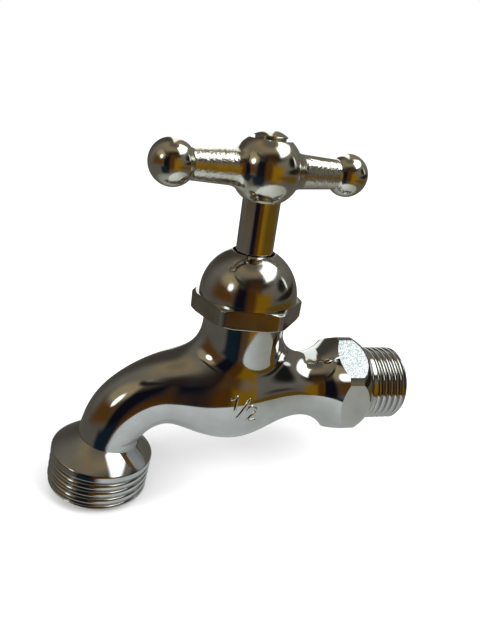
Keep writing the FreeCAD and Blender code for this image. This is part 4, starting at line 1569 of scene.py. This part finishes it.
@dataclass
class Studio:
    """A plain white floor and surround, soft lamps, and a glowing sphere painted as a dim room that only the
    chrome sees: painted reflections and painted window highlights.
    """

    floor_height: float
    target: Vector
    floor_size: float = 8.0
    room_radius: float = 2.2
    white: float = 1.0
    room_segments: int = 64
    painted_floor_reflection: PaintedFloorReflection = PaintedFloorReflection()
    lamps: tuple[Lamp, ...] = (
        Lamp("window_lamp", (0.75, -0.75, 0.95), (0.7, 0.5), 9.0),
        Lamp("side_lamp", (-0.95, -0.35, 0.55), (0.35, 0.5), 4.0))
    # painted reflections: the glowing room's colour by height, pale below the horizon, a dark belt, a tan
    # band and a dim top
    painted_reflection_walls: tuple[tuple[float, Triple], ...] = (
        (-90, (0.40, 0.42, 0.40)), (-55, (0.30, 0.31, 0.29)), (-42, (0.13, 0.12, 0.10)),
        (-8, (0.12, 0.11, 0.095)), (28, (0.18, 0.17, 0.145)), (50, (0.20, 0.18, 0.14)),
        (66, (0.28, 0.22, 0.13)), (80, (0.13, 0.12, 0.095)), (90, (0.11, 0.10, 0.08)))
    # painted reflections on the glowing room: the four brighter than white are painted window highlights, the
    # rest painted dark and coloured reflections
    patches: tuple[PaintedRoomReflection, ...] = (
        PaintedRoomReflection(-168, 35, 30, 45, (0.07, 0.06, 0.05), 0.7),
        PaintedRoomReflection(168, 32, 10, 42, (1.3, 1.36, 1.3), 0.3, square=True),
        PaintedRoomReflection(-66, 33, 32, 14, (0.38, 0.31, 0.18), 0.4),
        PaintedRoomReflection(-74, 5, 30, 14, (0.11, 0.05, 0.012), 0.5, square=True),
        PaintedRoomReflection(4, 42, 46, 14, (0.03, 0.02, 0.012), 0.5),
        PaintedRoomReflection(-6, 4, 20, 34, (0.085, 0.034, 0.006), 0.5, square=True),
        PaintedRoomReflection(20, -4, 18, 24, (0.25, 0.135, 0.006), 0.4, square=True),
        PaintedRoomReflection(66, -13, 40, 7, (0.13, 0.075, 0.008), 0.4),
        PaintedRoomReflection(-34, 0, 14, 40, (0.006, 0.006, 0.011), 0.45, square=True),
        PaintedRoomReflection(-43, -30, 18, 14, (0.008, 0.018, 0.028), 0.4, square=True),
        PaintedRoomReflection(-50, 41, 22, 3, (0.02, 0.02, 0.02), 0.5, lean=-16.0),
        PaintedRoomReflection(74, 23, 15, 11, (0.012, 0.012, 0.010), 0.4),
        PaintedRoomReflection(85, 3, 32, 6, (0.02, 0.015, 0.010), 0.4),
        PaintedRoomReflection(75, 57, 38, 13, (3.4, 3.6, 3.5), 0.25, square=True),
        PaintedRoomReflection(-64, 23, 6, 7, (2.6, 2.8, 2.7), 0.4),
        PaintedRoomReflection(89, 21, 3, 10, (1.2, 1.25, 1.2), 0.3))

    def build(self) -> None:
        """Set up the floor, the surround, the room and the lamps."""
        self.floor()
        self.surround()
        self.room()
        for lamp in self.lamps:
            self.hang(lamp)

    def floor(self) -> None:
        """Lay the floor: white to look at, and a painted reflection of limited size for the chrome to mirror,
        pale grey and darker towards the wall.
        """
        mesh = bmesh.new()
        bmesh.ops.create_grid(mesh, x_segments=1, y_segments=1, size=self.floor_size / 2,
                              matrix=Matrix.Translation((0, 0, self.floor_height)))
        paint, painted_floor_reflection = Paint("floor_paint", bare=True), self.painted_floor_reflection
        mirrored = paint.new("ShaderNodeLightPath").outputs["Is Glossy Ray"]
        sides = paint.split(paint.place)[:2]
        shares = [paint.math("DIVIDE", paint.math("SUBTRACT", side, middle * MM), half * MM)
                  for side, middle, half in zip(sides, painted_floor_reflection.middle, painted_floor_reflection.half)]
        beyond = paint.step(paint.length(*shares), 1 - painted_floor_reflection.soft, 1.0)
        cloth = paint.new("ShaderNodeBsdfDiffuse")
        ends = [painted_floor_reflection.middle[0] + share * painted_floor_reflection.half[0] for share in (-painted_floor_reflection.change, painted_floor_reflection.change)]
        # painted reflection: the grey that only mirrored rays see, going from near to far along X
        grey = paint.mix(paint.step(sides[0], ends[0] * MM, ends[1] * MM), painted_floor_reflection.near, painted_floor_reflection.far)
        paint.link(paint.mix(mirrored, (self.white,) * 3, grey), cloth.inputs["Color"])
        gone = paint.new("ShaderNodeBsdfTransparent")
        either = paint.new("ShaderNodeMixShader")
        paint.link(paint.math("MULTIPLY", beyond, mirrored), either.inputs["Fac"])
        paint.link(cloth.outputs["BSDF"], either.inputs[1])
        paint.link(gone.outputs["BSDF"], either.inputs[2])
        paint.set_up("floor", mesh, either.outputs["Shader"])

    def surround(self) -> None:
        """Make the world an even white."""
        world = bpy.data.worlds.new("surround")
        world.use_nodes = True
        back = world.node_tree.nodes["Background"]
        back.inputs["Color"].default_value = (1, 1, 1, 1)
        back.inputs["Strength"].default_value = 1.0
        bpy.context.scene.world = world

    def room(self) -> None:
        """Hang a glowing sphere painted as a dim room, seen only in the chrome's reflections: painted
        reflections, with painted window highlights among its patches.
        """
        mesh = bmesh.new()
        bmesh.ops.create_uvsphere(mesh, u_segments=self.room_segments, v_segments=self.room_segments // 2,
                                  radius=self.room_radius)
        bmesh.ops.reverse_faces(mesh, faces=mesh.faces)
        paint = Paint("painted_reflection_room_paint", bare=True)
        across, along, up = paint.split(paint.place)
        rise = paint.math("ARCSINE", paint.math("DIVIDE", up, self.room_radius))
        towards = paint.math("ARCTAN2", across, paint.math("MULTIPLY", along, -1.0))
        height, bearing = (paint.math("MULTIPLY", angle, DEGREES) for angle in (rise, towards))
        colour = paint.ramp(paint.math("DIVIDE", paint.math("ADD", height, 90.0), 180.0),
                            [((degrees + 90) / 180, shade) for degrees, shade in self.painted_reflection_walls])
        for patch in self.patches:
            colour = self.lay(paint, patch, bearing, height, colour)
        # the room glows though it is no lamp; only glossy rays see it, so its colours are painted reflections
        glow = paint.new("ShaderNodeEmission")
        paint.link(colour, glow.inputs["Color"])
        room = paint.set_up("room", mesh, glow.outputs["Emission"])
        for kind in ("camera", "diffuse", "shadow", "transmission", "volume_scatter"):
            setattr(room, f"visible_{kind}", False)

    def lay(self, paint: Paint, patch: PaintedRoomReflection, bearing: Socket, height: Socket, under: Socket) -> Socket:
        """Lay a painted reflection patch over the room's painted shades so far.

        Args:
            paint: the room's paint.
            patch: the patch.
            bearing: the bearing of a place on the wall.
            height: its height.
            under: its colour so far.

        Returns:
            Its colour with the patch.
        """
        lean = math.radians(patch.lean)
        sideways = paint.math("SUBTRACT", bearing, patch.bearing)
        upwards = paint.math("SUBTRACT", height, patch.height)
        offsets = []
        for size, across, along in ((patch.wide, math.cos(lean), math.sin(lean)),
                                    (patch.tall, -math.sin(lean), math.cos(lean))):
            offset = paint.math("ADD", paint.math("MULTIPLY", sideways, across / size),
                                paint.math("MULTIPLY", upwards, along / size))
            offsets.append(paint.math("ABSOLUTE", offset))
        reach = paint.math("MAXIMUM", *offsets) if patch.square else paint.length(*offsets)
        return paint.mix(paint.step(reach, 1 + patch.soft, 1 - patch.soft), under, patch.colour)

    def hang(self, lamp: Lamp) -> None:
        """Hang a lamp and aim it at the tap."""
        data = bpy.data.lights.new(lamp.name, "AREA")
        data.shape = "RECTANGLE"
        data.size, data.size_y = lamp.size
        data.energy = lamp.watts
        holder = stand(lamp.name, data)
        # the lamps stay out of reflections: the chrome's window highlights are painted on the glowing room
        holder.visible_glossy = False
        place = Vector(lamp.place)
        holder.matrix_world = (Matrix.Translation(place)
                               @ (self.target - place).to_track_quat("-Z", "Y").to_matrix().to_4x4())


@dataclass(frozen=True)
class Viewpoint:
    """The camera: where it stands in the part's frame, where it looks and its focal length in pixels."""

    place: Triple = (-80.750, -128.268, 74.278)
    right: Triple = (0.95730804, -0.25695095, 0.13242936)
    down: Triple = (0.01963711, -0.39925803, -0.91662828)
    focal_pixels: float = 551.0246
    long_side_pixels: float = 640.0
    sensor: float = 36.0
    clip: tuple[float, float] = (0.01, 20.0)

    def build(self) -> None:
        """Set up the camera."""
        data = bpy.data.cameras.new("camera")
        data.sensor_width = self.sensor
        data.lens = self.focal_pixels * self.sensor / self.long_side_pixels
        data.clip_start, data.clip_end = self.clip
        camera = stand("camera", data)
        right, up = Vector(self.right).normalized(), -Vector(self.down).normalized()
        axes = Matrix((right, up, right.cross(up))).transposed().to_4x4()
        camera.matrix_world = Matrix.Translation(Vector(self.place) * MM) @ axes
        bpy.context.scene.camera = camera


def outlet_frame(mount: dict) -> Matrix:
    """The frame of the outlet: Z up its axis, from where that axis crosses the inlet axis.

    Args:
        mount: the record's hose mount.

    Returns:
        The frame, in millimetres.
    """
    place, down = Vector(mount["pos_m"]) / MM, Vector(mount["axis"]).normalized()
    crossing = place - down * (place.z / down.z)
    lean = math.atan2(-down.x, -down.z)
    return Matrix.Translation(crossing) @ Matrix.Rotation(lean, 4, "Y")


def main() -> None:
    """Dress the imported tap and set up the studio."""
    logging.basicConfig(level=logging.INFO, format="%(relativeCreated)d %(message)s")
    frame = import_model()
    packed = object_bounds()
    joints = {joint["name"]: joint for joint in frame["joints"]}
    mounts = {mount["name"]: mount for mount in frame["record"]["mounts"]}
    turning = joints["handle_turn"]["pos_m"]
    stem_distance, handle_height = -turning[0] / MM, turning[2] / MM

    plate = PlatedMetal("cast_plate", smooth=0.03, rough=0.08).build()
    coarse = PlatedMetal("coarse_plate", main=(0.60, 0.62, 0.63), other=(0.20, 0.225, 0.25), smooth=0.22,
                         rough=0.36, grain=(0.42, 0.09), film=0.42, smear=0.6).build()
    stem_plate = PlatedMetal("stem_plate", main=(0.72, 0.71, 0.66), other=(0.60, 0.59, 0.54), smooth=0.05,
                             rough=0.12, wave=(12.0, 0.005)).build()
    dome_plate = PlatedMetal("dome_plate", main=(0.66, 0.65, 0.61), other=(0.53, 0.525, 0.50), smooth=0.045,
                             rough=0.17, grain=(0.9, 0.012), smear=3.0).build()
    brushed = PlatedMetal("brushed_plate", main=(0.50, 0.46, 0.38), other=(0.36, 0.33, 0.27), smooth=0.06,
                          rough=0.13, grain=(0.16, 0.006), stretch=(20.0, 20.0, 1.0)).build()
    handle_plate = PlatedMetal("handle_plate", main=(0.78, 0.76, 0.68), other=(0.64, 0.62, 0.54),
                               smooth=0.07, rough=0.17, wave=(5.0, 0.02), grain=(0.5, 0.006)).build()
    cast_skin = PlatedMetal("cast_skin", main=(0.80, 0.78, 0.71), other=(0.60, 0.58, 0.51), smooth=0.08,
                            rough=0.18, wave=(5.0, 0.02), grain=(0.7, 0.11)).build()
    brass, rubber = TurnedBrass("turned_brass").build(), MouldedRubber("moulded_rubber").build()

    tap = TapBody(stem_distance, outlet_frame(mounts["hose_thread"]))
    casting = tap.casting(plate, coarse)
    tap.inlet_thread(plate)
    tap.hose_collar(plate)
    tap.hose_thread(plate)
    SizeMark(stem_distance).build(casting, plate)
    CapNut(stem_distance).build(dome_plate, brushed)
    Stem(stem_distance).build(stem_plate)
    handle = THandle(stem_distance, handle_height)
    handle.build(handle_plate, cast_skin)
    screw = HandleScrew(stem_distance, handle_height + handle.hub_facing)
    screw.screw(stem_plate)
    screw.washer(stem_plate)
    InnerPieces().dress(frame["nodes"], brass, rubber)

    Studio(packed[0].z - FLOOR_GAP * MM, (packed[0] + packed[1]) / 2).build()
    Viewpoint().build()
    bpy.context.scene.view_settings.view_transform = "Standard"
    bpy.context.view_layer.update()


if __name__ == "__main__":
    main()
